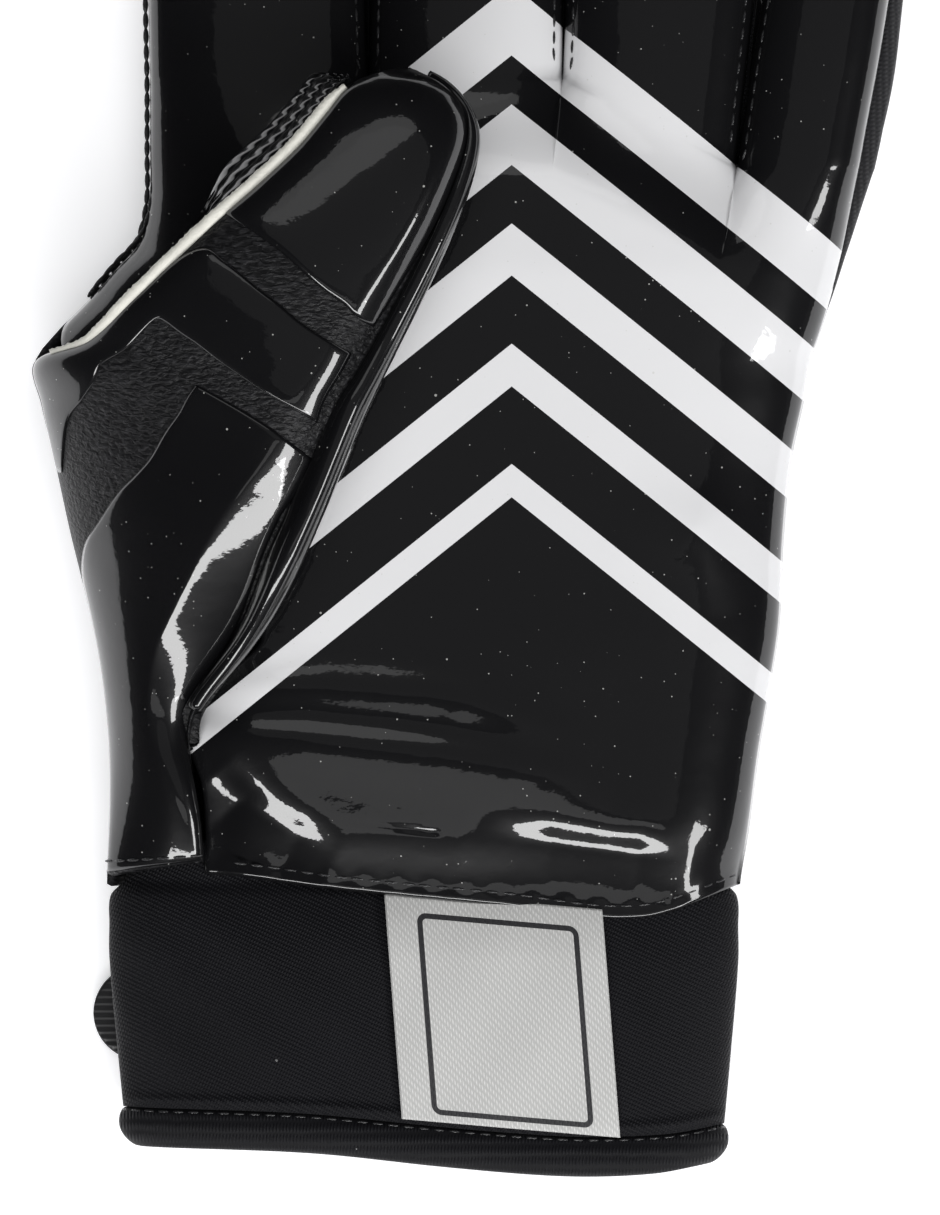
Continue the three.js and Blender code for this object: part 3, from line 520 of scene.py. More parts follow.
def maths(nodes, links, operation, first, second=None):
    made = node(nodes, "ShaderNodeMath", operation=operation)
    for k, value in enumerate((first, second)):
        if value is None:
            continue
        if isinstance(value, (int, float)):
            made.inputs[k].default_value = value
        else:
            links.new(value, made.inputs[k])
    return made.outputs[0]


def noise(nodes, links, place, scale, detail=2.0):
    made = node(nodes, "ShaderNodeTexNoise")
    links.new(place, made.inputs["Vector"])
    made.inputs["Scale"].default_value = scale
    made.inputs["Detail"].default_value = detail
    return made.outputs["Fac"]


def bump(nodes, links, height, strength, distance, below=None):
    made = node(nodes, "ShaderNodeBump")
    made.inputs["Strength"].default_value = strength
    made.inputs["Distance"].default_value = distance
    links.new(height, made.inputs["Height"])
    if below is not None:
        links.new(below, made.inputs["Normal"])
    return made.outputs["Normal"]


def specks(nodes, links, place, scale, share, size):
    """Dust and lint: 1 inside a few of the cells' middles, 0 elsewhere."""
    cells = node(nodes, "ShaderNodeTexVoronoi")
    links.new(place, cells.inputs["Vector"])
    cells.inputs["Scale"].default_value = scale
    split = node(nodes, "ShaderNodeSeparateColor")
    links.new(cells.outputs["Color"], split.inputs["Color"])
    chosen = maths(nodes, links, "LESS_THAN", split.outputs[0], share)
    small = maths(nodes, links, "MULTIPLY", split.outputs[1], size)
    inside = maths(nodes, links, "LESS_THAN", cells.outputs["Distance"], small)
    return maths(nodes, links, "MULTIPLY", chosen, inside)


def gloss_finish(name, printed=None):
    made, nodes, links, shader = new_material(name)
    place = node(nodes, "ShaderNodeTexCoord").outputs["Object"]
    coarse_dust = specks(nodes, links, place, 700, 0.08, 0.12)
    fine_dust = specks(nodes, links, place, 2100, 0.06, 0.22)
    dust = maths(nodes, links, "MAXIMUM", coarse_dust, fine_dust)
    mask = printed(nodes, links, place) if printed else 0
    base = mixed(nodes, links, mask, GLOSS_BLACK, PRINT_WHITE)
    dusted = maths(nodes, links, "MULTIPLY", dust, DUST_COVER)
    links.new(mixed(nodes, links, dusted, base, DUST_GREY), shader.inputs["Base Color"])
    preset(shader, {"Roughness": 0.3, "Specular IOR Level": 0.1, "Coat Weight": 1.0,
                    "Coat Roughness": COAT_ROUGHNESS})
    slow = noise(nodes, links, place, WAVES_SCALE, 2)
    fine = noise(nodes, links, place, GRAIN_SCALE, 2)
    rippled = bump(nodes, links, slow, 0.35, WAVES_DEPTH)
    grained = bump(nodes, links, fine, 0.25, GRAIN_DEPTH, rippled)
    links.new(grained, shader.inputs["Normal"])
    links.new(grained, shader.inputs["Coat Normal"])
    return made


CHEVRON_MIDDLE = 11.0
CHEVRON_TOP = 112.0
CHEVRON_SLOPE = 0.8
CHEVRON_PITCH = 15.0
CHEVRON_COUNT = 5
CHEVRON_FALL = 0.085  # each chevron is this much thinner for each millimetre nearer the wrist
CHEVRON_THICK = 9.6
CHEVRON_REACH = 45.0


def chevron_print(nodes, links, place):
    """White chevrons that point to the fingers and thin out towards the wrist."""
    parts = node(nodes, "ShaderNodeSeparateXYZ")
    links.new(place, parts.inputs[0])
    across = maths(nodes, links, "SUBTRACT", parts.outputs["X"], float(SHIFT[0]) + CHEVRON_MIDDLE * MM)
    reach = maths(nodes, links, "ABSOLUTE", across)
    slanted = maths(nodes, links, "MULTIPLY", reach, CHEVRON_SLOPE)
    up = maths(nodes, links, "SUBTRACT", parts.outputs["Y"], float(SHIFT[1]))
    along = maths(nodes, links, "ADD", up, slanted)
    below = maths(nodes, links, "SUBTRACT", CHEVRON_TOP * MM, along)
    turned = maths(nodes, links, "MODULO", below, CHEVRON_PITCH * MM)
    thinner = maths(nodes, links, "MULTIPLY", below, CHEVRON_FALL)
    thick = maths(nodes, links, "SUBTRACT", CHEVRON_THICK * MM, thinner)
    inside = maths(nodes, links, "LESS_THAN", turned, thick)
    started = maths(nodes, links, "GREATER_THAN", below, 0.0)
    ended = maths(nodes, links, "LESS_THAN", below, CHEVRON_PITCH * CHEVRON_COUNT * MM)
    spread = maths(nodes, links, "LESS_THAN", reach, CHEVRON_REACH * MM)
    printed = maths(nodes, links, "MULTIPLY", inside, started)
    return maths(nodes, links, "MULTIPLY", maths(nodes, links, "MULTIPLY", printed, ended), spread)


palm_gloss = gloss_finish("printed_palm_gloss", chevron_print)
black_gloss = gloss_finish("black_gloss")
palm_points, palm_faces, finger_fronts = sheet_of_hand(
    PALM_STEPS, PALM_COLUMNS, FINGER_STEPS, palm_rows, finger_front, 1)
palm = skin("palm", palm_points, palm_faces, PALM_WALL, on_seam, palm_gloss)
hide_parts("palm_panel")


# Back
# The back of the hand and of the fingers is one piece of stretch knit. It lies flat on the table and
# swells out past the palm beside the little finger.

BACK_WALL = 1.1
KNIT_BLACK = (0.009, 0.009, 0.0105, 1)


def finger_back_share(turn):
    return np.maximum(0, 1 - 1.12 * np.sin(turn) ** 0.8)


def bulged(x, y, z, across):
    k = z / SEAM_HEIGHT
    where = ease((y / PALM_LENGTH - 0.62) / 0.4) * ease((across - 0.6) / 0.3)
    return np.stack([x + BACK_BULGE * where * 4 * k * (1 - k), y, z], -1)


def back_rows(share, turn, v):
    drop = HEM["drop"][-1] * PALM_LENGTH
    left_y, right_y = blend(-drop, PALM_LENGTH, v), blend(-drop, LITTLE_CROTCH, v)
    y = blend(-drop, crotch_y(share), v)
    x = blend(side_x("left", left_y), side_x("right", right_y), share)
    whole = np.maximum(0, 1 - 1.02 * np.sqrt(np.maximum(0, 1 - np.abs(2 * share - 1) ** 12)))
    divided = divided_at(crotch_y(share) - y, turn)
    low = blend(whole, finger_back_share(turn), divided)
    return bulged(x, y, (SEAM_HEIGHT - SEAM_GAP / 2) * low, share)


def finger_back(turn, bow):
    return (SEAM_HEIGHT - SEAM_GAP / 2) * blend(1, finger_back_share(turn), bow)


BAND_WIDTH = 0.314  # width of one band of the wave pattern at scale 1
LINT_GREY = (0.22, 0.22, 0.22, 1)


def bands(nodes, links, place, direction, pitch, distortion=0.0, detail_scale=1.0):
    wave = node(nodes, "ShaderNodeTexWave", bands_direction=direction)
    links.new(place, wave.inputs["Vector"])
    preset(wave, {"Scale": BAND_WIDTH / (pitch * MM), "Distortion": distortion, "Detail Scale": detail_scale})
    return wave.outputs["Fac"]


def knit_finish(name, color, ribs_across, ribs_along, slant, depth, fuzz, sheen):
    """A matte knit: fine ribs crossed by stitches, with a little lint."""
    made, nodes, links, shader = new_material(name)
    place = node(nodes, "ShaderNodeTexCoord").outputs["Object"]
    turned = node(nodes, "ShaderNodeMapping")
    links.new(place, turned.inputs["Vector"])
    turned.inputs["Rotation"].default_value = (0, 0, slant)
    ribs = bands(nodes, links, turned.outputs[0], "X", ribs_across, 0.8, 2.0)
    courses = bands(nodes, links, turned.outputs[0], "Y", ribs_along, 0.8, 2.0)
    height = maths(nodes, links, "MULTIPLY", ribs, courses)
    patchy = noise(nodes, links, place, 90, 3)
    ribbed = maths(nodes, links, "MULTIPLY", height, 0.6)
    mottled = maths(nodes, links, "MULTIPLY", patchy, 0.4)
    shade = maths(nodes, links, "ADD", ribbed, mottled)
    tone = mixed(nodes, links, shade, toned(color, 0.55), toned(color, 1.7))
    lint = specks(nodes, links, place, 900, 0.02, 0.14)
    links.new(mixed(nodes, links, lint, tone, LINT_GREY), shader.inputs["Base Color"])
    preset(shader, {"Roughness": 0.6, "Specular IOR Level": 0.14,
                    "Sheen Weight": sheen, "Sheen Roughness": 0.5})
    loose = bump(nodes, links, noise(nodes, links, place, 2600, 2), 0.5, fuzz)
    links.new(bump(nodes, links, height, 1.0, depth, loose), shader.inputs["Normal"])
    return made


back_knit = knit_finish("back_knit", KNIT_BLACK, ribs_across=0.8, ribs_along=0.55, slant=0.0,
                        depth=0.00012, fuzz=0.00004, sheen=0.03)
BACK_COLUMNS = 24
BACK_STEPS = np.concatenate([np.linspace(0, 0.8, 60), np.linspace(0.8, 1, 30)[1:]])
back_points, back_faces, _ = sheet_of_hand(BACK_STEPS, BACK_COLUMNS, FINGER_STEPS, back_rows, finger_back, -1)
back = skin("back", back_points, back_faces, BACK_WALL, on_seam, back_knit)
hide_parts("back_panel")


# Finger webs
# Between the roots of the fingers the side strips of the glove meet in short black webs, which close
# the ends of the slits.

WEB_ROWS, WEB_COLUMNS = 15, 9
WEB_SAG = 0.9
WEB_WALL = 0.7
web_share = np.linspace(0, 1, WEB_COLUMNS)
for k in range(len(FINGERS) - 1):
    one_side = finger_fronts[k][:WEB_ROWS, -1]
    other_side = finger_fronts[k + 1][:WEB_ROWS, 0]
    web_grid = one_side[:, None, :] + (other_side - one_side)[:, None, :] * web_share[None, :, None]
    web_grid[0, :, 1] -= 0.05
    web_grid[..., 0] += (web_share - 0.5)[None, :] * 0.5
    web_grid[..., 2] = SEAM_HEIGHT - 0.2 - WEB_SAG * 4 * (web_share * (1 - web_share))[None, :]
    skin("finger_web_" + str(k + 1), web_grid.reshape(-1, 3), grid_faces(WEB_ROWS, WEB_COLUMNS),
         WEB_WALL, None, black_gloss)


# Thumb cover
# The outer half of the thumb is a pebbled grip cloth. It starts along the side of the hand, where it
# is sewn to the palm's edge, and folds over so that the thumb lies on the palm.

THUMB_REST = 1.1
THUMB_UNDER = 4
THUMB_CROWN = 10
THUMB_FULLNESS = 0.6
THUMB_WALL = 1.5
THUMB_SEAM = SEAM_HEIGHT + PALM_RISE + THUMB_REST + THUMB_UNDER
UNDER_START = 4
SEAM_START = 9
CREASE_TOP_UP = 0.297
WEB_UP = 0.655
# Sections from the thumb's root to its tip. x is a share of the wrist's width and up of the palm's
# length, a lift of 1 is at the seam of the thumb lying on the palm, and crown is a share.
THUMB_COLUMNS = ("left_x", "left_up", "left_lift", "right_x", "right_up", "right_lift", "crown")
THUMB = [
    (-0.5, 0.008, 0, -0.347, 0.008, 0.36, 0.36),
    (-0.495, 0.099, 0, -0.352, 0.093, 0.38, 0.54),
    (-0.497, 0.18, 0, -0.382, 0.18, 0.38, 0.7),
    (-0.51, 0.267, 0, -0.34, 0.236, 0.45, 0.85),
    (-0.533, 0.354, 0, -0.26, 0.297, 0.74, 1.0),
    (-0.558, 0.435, 0, -0.196, 0.383, 1, 1.1),
    (-0.58, 0.516, 0.02, -0.15, 0.462, 1, 1.25),
    (-0.602, 0.59, 0.08, -0.115, 0.532, 1, 1.35),
    (-0.612, 0.644, 0.25, -0.087, 0.584, 1, 1.35),
    (-0.532, 0.668, 0.62, -0.064, 0.621, 1, 1.2),
    (-0.461, 0.718, 0.9, -0.04, 0.659, 1, 1.06),
    (-0.395, 0.768, 1, -0.013, 0.702, 1, 1.0),
    (-0.327, 0.818, 1, 0.015, 0.748, 1, 1.0),
    (-0.26, 0.864, 1, 0.04, 0.791, 1, 0.97),
    (-0.202, 0.907, 1, 0.064, 0.839, 1, 0.92),
    (-0.159, 0.947, 1, 0.081, 0.885, 1, 0.84),
    (-0.131, 0.974, 1, 0.087, 0.922, 1, 0.74),
    (-0.103, 0.989, 1, 0.071, 0.954, 1, 0.62),
    (-0.068, 0.999, 1, 0.037, 0.982, 1, 0.44),
    (-0.021, 1.006, 1, -0.021, 1.006, 1, 0),
]
THUMB_TIP = len(THUMB) - 1
section_numbers = tuple(range(len(THUMB)))
thumb_table = {key: np.array([row[k] for row in THUMB]) for k, key in enumerate(THUMB_COLUMNS)}


def opening_edge(up):
    y = np.asarray(up) * PALM_LENGTH
    share = opening_share(y)
    x = blend(side_x("left", y), side_x("right", y), share)
    sunk = (seam_fall(y) + hem_fall(share, y)[0]) * (share > 0)
    return np.stack([x, y, palm_under(x, y) - sunk], -1)


def edge_points(side):
    x = thumb_table[side + "_x"] * WRIST_WIDTH
    y = thumb_table[side + "_up"] * PALM_LENGTH
    z = blend(SEAM_HEIGHT, THUMB_SEAM, thumb_table[side + "_lift"])
    return np.stack([x, y, z], -1)


left_edge = edge_points("left")
right_edge = edge_points("right")
right_edge[:UNDER_START + 1] = opening_edge(thumb_table["right_up"][:UNDER_START + 1])


def thumb_edge(points, section):
    return np.stack([curve((section_numbers,), points[:, k], section) for k in range(3)], -1)


# The right edge is eased so that its rolled seam runs without waves.
EASING = 0.7
EASE_REACH = 40
fine_sections = np.linspace(-2, THUMB_TIP + 2, 460)
weights = np.exp(-((np.arange(-EASE_REACH, EASE_REACH + 1) * (fine_sections[1] - fine_sections[0]) / EASING) ** 2))
weights /= weights.sum()
rough_edge = thumb_edge(right_edge, np.clip(fine_sections, 0, THUMB_TIP))
padded_edge = np.pad(rough_edge, ((EASE_REACH, EASE_REACH), (0, 0)), mode="edge")
eased_edge = np.stack([np.convolve(padded_edge[:, k], weights, "valid") for k in range(3)], -1)
tip_share = ease((fine_sections - THUMB_TIP + 3) / 2.5)[:, None]
eased_edge = blend(eased_edge, rough_edge, tip_share)


def thumb_right(section):
    return np.stack([np.interp(section, fine_sections, eased_edge[:, k]) for k in range(3)], -1)


# Lines along the thumb's top, each a share across the thumb at a section: the shoulder where its top
# turns down, and the valley at the foot of that slope, past which the inner half rolls up again.
# Fall is the depth from the shoulder to the valley in millimetres.
SHOULDER = {
    "section": (0, 0.45, 1.05, 1.58, 2.0, 2.58, 3.45, 4.23, 4.9, 5.75, 6.75, 8, 9.6, 12, 14, 16, 19),
    "share": (0.95, 0.9, 0.76, 0.634, 0.53, 0.446, 0.439, 0.509, 0.574,
              0.651, 0.748, 0.797, 0.795, 0.816, 0.816, 0.82, 0.85),
}
VALLEY = {
    "section": (0, 1.5, 2.0, 2.43, 3.0, 3.9, 4.58, 5.1, 5.7, 6.38, 7.38, 8.45, 10, 14, 16, 19),
    "share": (1.0, 1.0, 0.96, 0.9, 0.885, 0.875, 0.855, 0.848,
              0.861, 0.881, 0.9, 0.906, 0.908, 0.905, 0.92, 0.94),
}
FALL = {
    "section": (0, 1.2, 2.0, 3.0, 4.0, 5.0, 6.0, 7.0, 8.5, 10, 14, 16, 17.5, 19),
    "depth": (0, 0.8, 2.4, 3.8, 4.2, 4.0, 3.2, 2.4, 1.8, 1.7, 1.6, 0.9, 0, 0),
}
FALL_LEAD = 0.3  # share of the slope that lies before the shoulder's line
SHARPNESS = 0.07  # share of the slope over which the root's shoulder turns down
LEFT_FULLNESS = 0.34  # the pads run level to the thumb's left edge, from the web to the tip


def cover_point(section, across):
    section, across = np.broadcast_arrays(np.asarray(section, float), np.asarray(across, float))
    left = thumb_edge(left_edge, section)
    right = thumb_right(section)
    point = left + (right - left) * across[..., None]
    turn = np.arccos(1 - 2 * np.clip(across, 0, 1))
    level = ease((section - 8.2) / 1.6) * (1 - ease(across / 0.4))
    arch = np.sin(turn) ** blend(THUMB_FULLNESS, LEFT_FULLNESS, level)
    rise = curve((section_numbers,), thumb_table["crown"] * THUMB_CROWN, section) * arch
    valley = curve(VALLEY, "share", section)
    shoulder = curve(SHOULDER, "share", section)
    start = shoulder - FALL_LEAD * (valley - shoulder)
    eased_down = np.clip((across - start) / np.maximum(valley - start, 0.02), 0, 1) ** 1.6
    past = np.clip((across - shoulder) / np.maximum(valley - shoulder, 0.02), 0, 1)
    sharp_down = past - SHARPNESS * (1 - np.exp(-past / SHARPNESS))
    down = blend(sharp_down, eased_down, ease((section - 6.2) / 1.4))
    rolled = 1 - ease((across - valley) / np.maximum(0.65 * (1 - valley), 0.02))
    relief = -curve(FALL, "depth", section) * down * rolled
    point[..., 2] += rise + relief * np.clip(arch * 1.5, 0, 1) + SEAM_GAP / 2
    point[..., 0] -= SEAM_GAP * across * np.clip(UNDER_START + 1 - section, 0, 1)
    return point


def cover_lifted(section, across, height):
    """A point at a height above the cover, square to it."""
    step = 0.01
    across = np.clip(across, step, 1 - step)
    section = np.clip(section, step, THUMB_TIP - step)
    along = cover_point(section + step, across) - cover_point(section - step, across)
    over = cover_point(section, across + step) - cover_point(section, across - step)
    square = np.cross(over, along)
    square /= np.maximum(np.linalg.norm(square, axis=-1, keepdims=True), 1e-9)
    return cover_point(section, across) + square * np.asarray(height)[..., None]


def sideways(columns):
    return (1 - np.cos(np.linspace(0, np.pi, columns + 1))) / 2


CLOTH_BLACK = (0.004, 0.004, 0.0045, 1)
CLOTH_GREY = (0.016, 0.016, 0.0175, 1)
CRINKLE_SIZE = 0.5
CRINKLE_DEPTH = 0.00035


def crinkled_cloth():
    """A matte cloth with short wavy ridges that run across the thumb."""
    made, nodes, links, shader = new_material("crinkled_grip_cloth")
    place = node(nodes, "ShaderNodeTexCoord").outputs["Object"]
    stretched = node(nodes, "ShaderNodeMapping")
    links.new(place, stretched.inputs["Vector"])
    preset(stretched, {"Rotation": (0, 0, 0.12), "Scale": (0.42, 1, 0.7)})
    ridges = node(nodes, "ShaderNodeTexNoise")
    links.new(stretched.outputs[0], ridges.inputs["Vector"])
    preset(ridges, {"Scale": 1 / (CRINKLE_SIZE * MM), "Detail": 2.0, "Distortion": 0.5})
    crest = node(nodes, "ShaderNodeMapRange")
    links.new(ridges.outputs["Fac"], crest.inputs["Value"])
    preset(crest, {"From Min": 0.45, "From Max": 0.72})
    tone = mixed(nodes, links, crest.outputs["Result"], CLOTH_BLACK, CLOTH_GREY)
    links.new(tone, shader.inputs["Base Color"])
    preset(shader, {"Roughness": 0.42, "Specular IOR Level": 0.2})
    links.new(bump(nodes, links, ridges.outputs["Fac"], 1.0, CRINKLE_DEPTH), shader.inputs["Normal"])
    return made


grip_cloth = crinkled_cloth()
cover_sections = np.linspace(0, THUMB_TIP, 191)
cover_shares = sideways(72)
cover_grid = cover_point(cover_sections[:, None], cover_shares[None, :])
cover = skin("thumb_cloth", cover_grid.reshape(-1, 3), grid_faces(*cover_grid.shape[:2]), THUMB_WALL,
             lambda p: p[:, 1] > 3, grip_cloth)
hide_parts("thumb_cover")


# Thumb's inner half
# The inner half of the thumb is the same glossy laminate as the palm. It lies on the palm, and its
# edge rolls up round the thumb's right side, where it is sewn beside the pads.

THUMB_FRONT_WALL = 1.0


def above_palm(points):
    return points[:, 2] > SEAM_HEIGHT + PALM_RISE + THUMB_REST


def inner_left(section):
    up = blend(CREASE_TOP_UP, WEB_UP, (section - UNDER_START) / (SEAM_START - UNDER_START))
    along_palm = opening_edge(np.clip(up, 0, WEB_UP)) + (0, 0, THUMB_REST)
    on_seam_line = thumb_edge(left_edge, section)
    joined = ease((section - SEAM_START) / 1.0)[..., None]
    return blend(along_palm, on_seam_line, joined)


inner_sections = np.concatenate([[4.6], np.linspace(5, THUMB_TIP, 113)])
inner_shares = sideways(40)
inner_start = inner_left(inner_sections)[:, None, :]
inner_end = thumb_right(inner_sections)[:, None, :]
inner_grid = inner_start + (inner_end - inner_start) * inner_shares[None, :, None]
inner_width = np.linalg.norm(inner_end - inner_start, axis=-1)
narrow = np.minimum(1, inner_width / (0.2 * WRIST_WIDTH))
depth = THUMB_UNDER * narrow * ease((inner_sections[:, None] - UNDER_START) / 4)
sag = depth * (4 * inner_shares * (1 - inner_shares))[None, :] ** 0.6
resting = palm_under(inner_grid[..., 0], inner_grid[..., 1]) + THUMB_REST
low = np.maximum(inner_grid[..., 2] - sag, np.minimum(resting, inner_grid[..., 2] + THUMB_REST))
inner_grid[..., 2] = low - SEAM_GAP
inner_flipped = inner_grid[:, ::-1, :]
inner = skin("thumb_inner_half", inner_flipped.reshape(-1, 3), grid_faces(*inner_flipped.shape[:2]),
             THUMB_FRONT_WALL, above_palm, black_gloss)
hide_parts("thumb_front")


def slab(name, lower, upper, finish):
    """A closed piece between two grids of points of the same size."""
    rows, columns = upper.shape[:2]
    count = rows * columns
    top = grid_faces(rows, columns)
    numbers = np.arange(count).reshape(rows, columns)
    loop = np.concatenate([numbers[0, :-1], numbers[:-1, -1], numbers[-1, :0:-1], numbers[:0:-1, 0]])
    following = np.roll(loop, -1)
    sides = np.stack([following, loop, loop + count, following + count], 1)
    faces = np.concatenate([top, top[:, ::-1] + count, sides])
    points = np.concatenate([upper.reshape(-1, 3), lower.reshape(-1, 3)])
    return skin(name, points, faces, finish=finish)


roll_sections = np.linspace(2.6, THUMB_TIP - 0.5, 170)[:, None]
roll_from = curve(VALLEY, "share", roll_sections)
roll_share = np.linspace(0, 1, 22)[None, :]
roll_across = blend(roll_from, 1, roll_share)
roll_height = 0.22 + 0.55 * np.sin(np.pi * roll_share) ** 0.5 * np.ones_like(roll_sections)
roll_top = cover_lifted(roll_sections, roll_across, roll_height)
roll_low = cover_lifted(roll_sections, roll_across, np.full(roll_across.shape, 0.04))
roll = slab("thumb_side_roll", roll_low, roll_top, black_gloss)


# Thumb pads
# Three raised pads of the glossy coating are bonded to the cloth. Their edges are soft, and their
# right sides fall away sharply to the rolled seam.

PAD_GAP = 0.06
PAD_HEIGHT = 0.3
PAD_EDGE = 1.5


def pad(name, node_name, sections, shares):
    """A pad over the given sections and shares across, both grids of the same size."""
    rows, columns = sections.shape
    v = np.linspace(0, 1, rows)[:, None]
    u = np.linspace(0, 1, columns)[None, :]
    length = np.linalg.norm(np.diff(cover_point(sections, shares)[:, columns // 2], axis=0), axis=1).sum()
    width = np.linalg.norm(np.diff(cover_point(sections, shares)[rows // 2], axis=0), axis=1).sum()
    edge = np.minimum(np.minimum(v, 1 - v) * length, np.minimum(u, 1 - u) * width) / PAD_EDGE
    height = PAD_HEIGHT * (0.5 + 0.5 * np.sqrt(np.clip(1 - (1 - np.clip(edge, 0, 1)) ** 2, 0, 1)))
    upper = cover_lifted(sections, shares, height)
    lower = cover_lifted(sections, shares, np.full(sections.shape, PAD_GAP))
    made = slab(name, lower, upper, black_gloss)
    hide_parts(node_name)
    return made


def between(table, rows, columns):
    """Grids between two lines on the thumb, each line given by its sections and shares across."""
    pairs = np.array(table, float)
    knots = tuple(range(len(pairs)))
    at = np.linspace(0, len(pairs) - 1, columns)
    lines = [curve((knots,), pairs[:, k], at) for k in range(4)]
    v = np.linspace(0, 1, rows)[:, None]
    return blend(lines[0][None, :], lines[2][None, :], v), blend(lines[1][None, :], lines[3][None, :], v)


# Each row gives a point on the pad's lower edge and the point across from it on its upper edge, as
# section and share across, going from left to right.
TIP_PAD = [
    (12.15, 0.03, 18.6, 0.03), (12.05, 0.107, 18.75, 0.13), (11.83, 0.257, 18.8, 0.28),
    (11.58, 0.396, 18.8, 0.42), (11.28, 0.521, 18.8, 0.56), (11.0, 0.636, 18.75, 0.7),
    (10.78, 0.738, 18.5, 0.82), (10.53, 0.81, 18.0, 0.9), (10.4, 0.88, 17.2, 0.935),
]
MID_PAD = [
    (5.9, 0.025, 5.9, 0.008), (6.8, 0.089, 6.6, 0.008), (7.28, 0.155, 7.2, 0.008),
    (7.75, 0.2, 7.9, 0.008), (8.3, 0.19, 8.6, 0.008), (8.85, 0.165, 9.2, 0.008),
    (9.4, 0.15, 10.1, 0.02), (9.68, 0.155, 11.0, 0.035), (9.68, 0.185, 11.35, 0.09),
    (9.47, 0.272, 11.2, 0.19), (9.22, 0.371, 11.0, 0.292), (8.85, 0.481, 10.73, 0.409),
    (8.47, 0.586, 10.48, 0.516), (8.05, 0.696, 10.18, 0.621), (7.73, 0.8, 9.93, 0.72),
    (7.5, 0.875, 9.6, 0.86),
]
BASE_PAD_LEFT = {
    "section": (0, 3.9, 4.3, 4.8, 5.25, 5.75, 6.03, 6.35, 6.85, 7.33, 7.98, 8.3),
    "share": (0.012, 0.012, 0.015, 0.064, 0.152, 0.244, 0.304, 0.361, 0.414, 0.461, 0.499, 0.52),
}
BASE_PAD_TOP = 7.98
BASE_PAD_SKEW = 3.05

tip_sections, tip_shares = between(TIP_PAD, 60, 48)
pad("thumb_tip_pad_gloss", "thumb_tip_pad", tip_sections, tip_shares)
mid_sections, mid_shares = between(MID_PAD, 30, 130)
pad("thumb_mid_pad_gloss", "thumb_mid_pad", mid_sections, mid_shares)
base_v = np.linspace(0.0, 1, 120)[:, None]
base_u = np.linspace(0, 1, 52)[None, :]
base_along = blend(0.02, BASE_PAD_TOP, base_v)
base_left = curve(BASE_PAD_LEFT, "share", base_along)
base_right = curve(VALLEY, "share", base_along) - 0.012
base_shares = blend(base_left, base_right, base_u)
base_skew = BASE_PAD_SKEW * ease((base_along - 5.6) / 2.4)
base_sections = base_along - base_skew * (base_shares - base_left)
pad("thumb_base_pad_gloss", "thumb_base_pad", base_sections, base_shares)


# Core edge
# The thumb's laminate is cut raw along its upper seam, so its pale foam core shows as a fuzzy white
# line. It is left unbound, and frays a little.

CORE_SPAN = (8.3, 16.3)
CORE_WIDTH = 1.3
CORE_HEIGHT = 0.75
CORE_SHARE = 0.022
CORE_FRAY = 0.05
# Points round the edge's section: out in shares of its width and up in shares of its height.
CORE_SECTION = ((-0.2, 0.3), (0.0, 0.75), (0.45, 1.0), (0.9, 0.8),
                (1.0, 0.3), (0.9, -0.6), (0.1, -0.9), (-0.2, -0.3))
CORE_WHITE = (0.7, 0.69, 0.63, 1)

core_finish, nodes, links, shader = new_material("raw_core_edge")
place = node(nodes, "ShaderNodeTexCoord").outputs["Object"]
tone = mixed(nodes, links, noise(nodes, links, place, 900, 3), toned(CORE_WHITE, 0.72), CORE_WHITE)
links.new(tone, shader.inputs["Base Color"])
shader.inputs["Roughness"].default_value = 0.95
links.new(bump(nodes, links, noise(nodes, links, place, 2200, 3), 0.8, 0.00012), shader.inputs["Normal"])


def along_edge(span):
    """Sections and points along the thumb's upper edge, and the level way out of it at each."""
    at = np.linspace(*span, 260)
    line = cover_point(at, np.full(len(at), CORE_SHARE))
    run = np.gradient(line, axis=0)
    run[:, 2] = 0
    run /= np.linalg.norm(run, axis=1, keepdims=True)
    return at, line, np.stack([-run[:, 1], run[:, 0], np.zeros(len(at))], 1)


def ring_numbers(rings):
    """Vertex numbers of rings of points, with each ring's first one again at its end."""
    numbers = np.arange(rings.shape[0] * rings.shape[1]).reshape(rings.shape[:2])
    return np.concatenate([numbers, numbers[:, :1]], 1)


core_at, core_line, core_out = along_edge(CORE_SPAN)
frayed = np.random.default_rng(7)
core_narrow = 0.55 + 0.45 * ease((core_at - CORE_SPAN[0]) / 1.6) * ease((CORE_SPAN[1] - core_at) / 1.2)
core_rows = []
for out, up in CORE_SECTION:
    fray = frayed.normal(0, CORE_FRAY, len(core_at)) * (out > 0.6)
    core_rows.append(core_line + core_out * (out * CORE_WIDTH * core_narrow + fray)[:, None]
                     + np.array([0, 0, 1]) * (up * CORE_HEIGHT))
core_ring = np.stack(core_rows, 1)
wrapped = ring_numbers(core_ring)
first, last = wrapped[0], wrapped[-1]
core_caps = []
for k in range(1, len(CORE_SECTION) - 1):
    core_caps.append([first[0], first[k], first[k + 1], first[k + 1]])
for k in range(1, len(CORE_SECTION) - 1):
    core_caps.append([last[0], last[k + 1], last[k], last[k]])
core_faces = np.concatenate([weave_rows(wrapped)[:, ::-1], core_caps])
core = skin("core_edge", core_ring.reshape(-1, 3), core_faces, finish=core_finish)
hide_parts("thumb_core_edge")


# Gusset
# Beside the core edge the inner half's seam allowance shows as narrow twisted pleats of black gloss,
# gathered when the thumb was turned over.

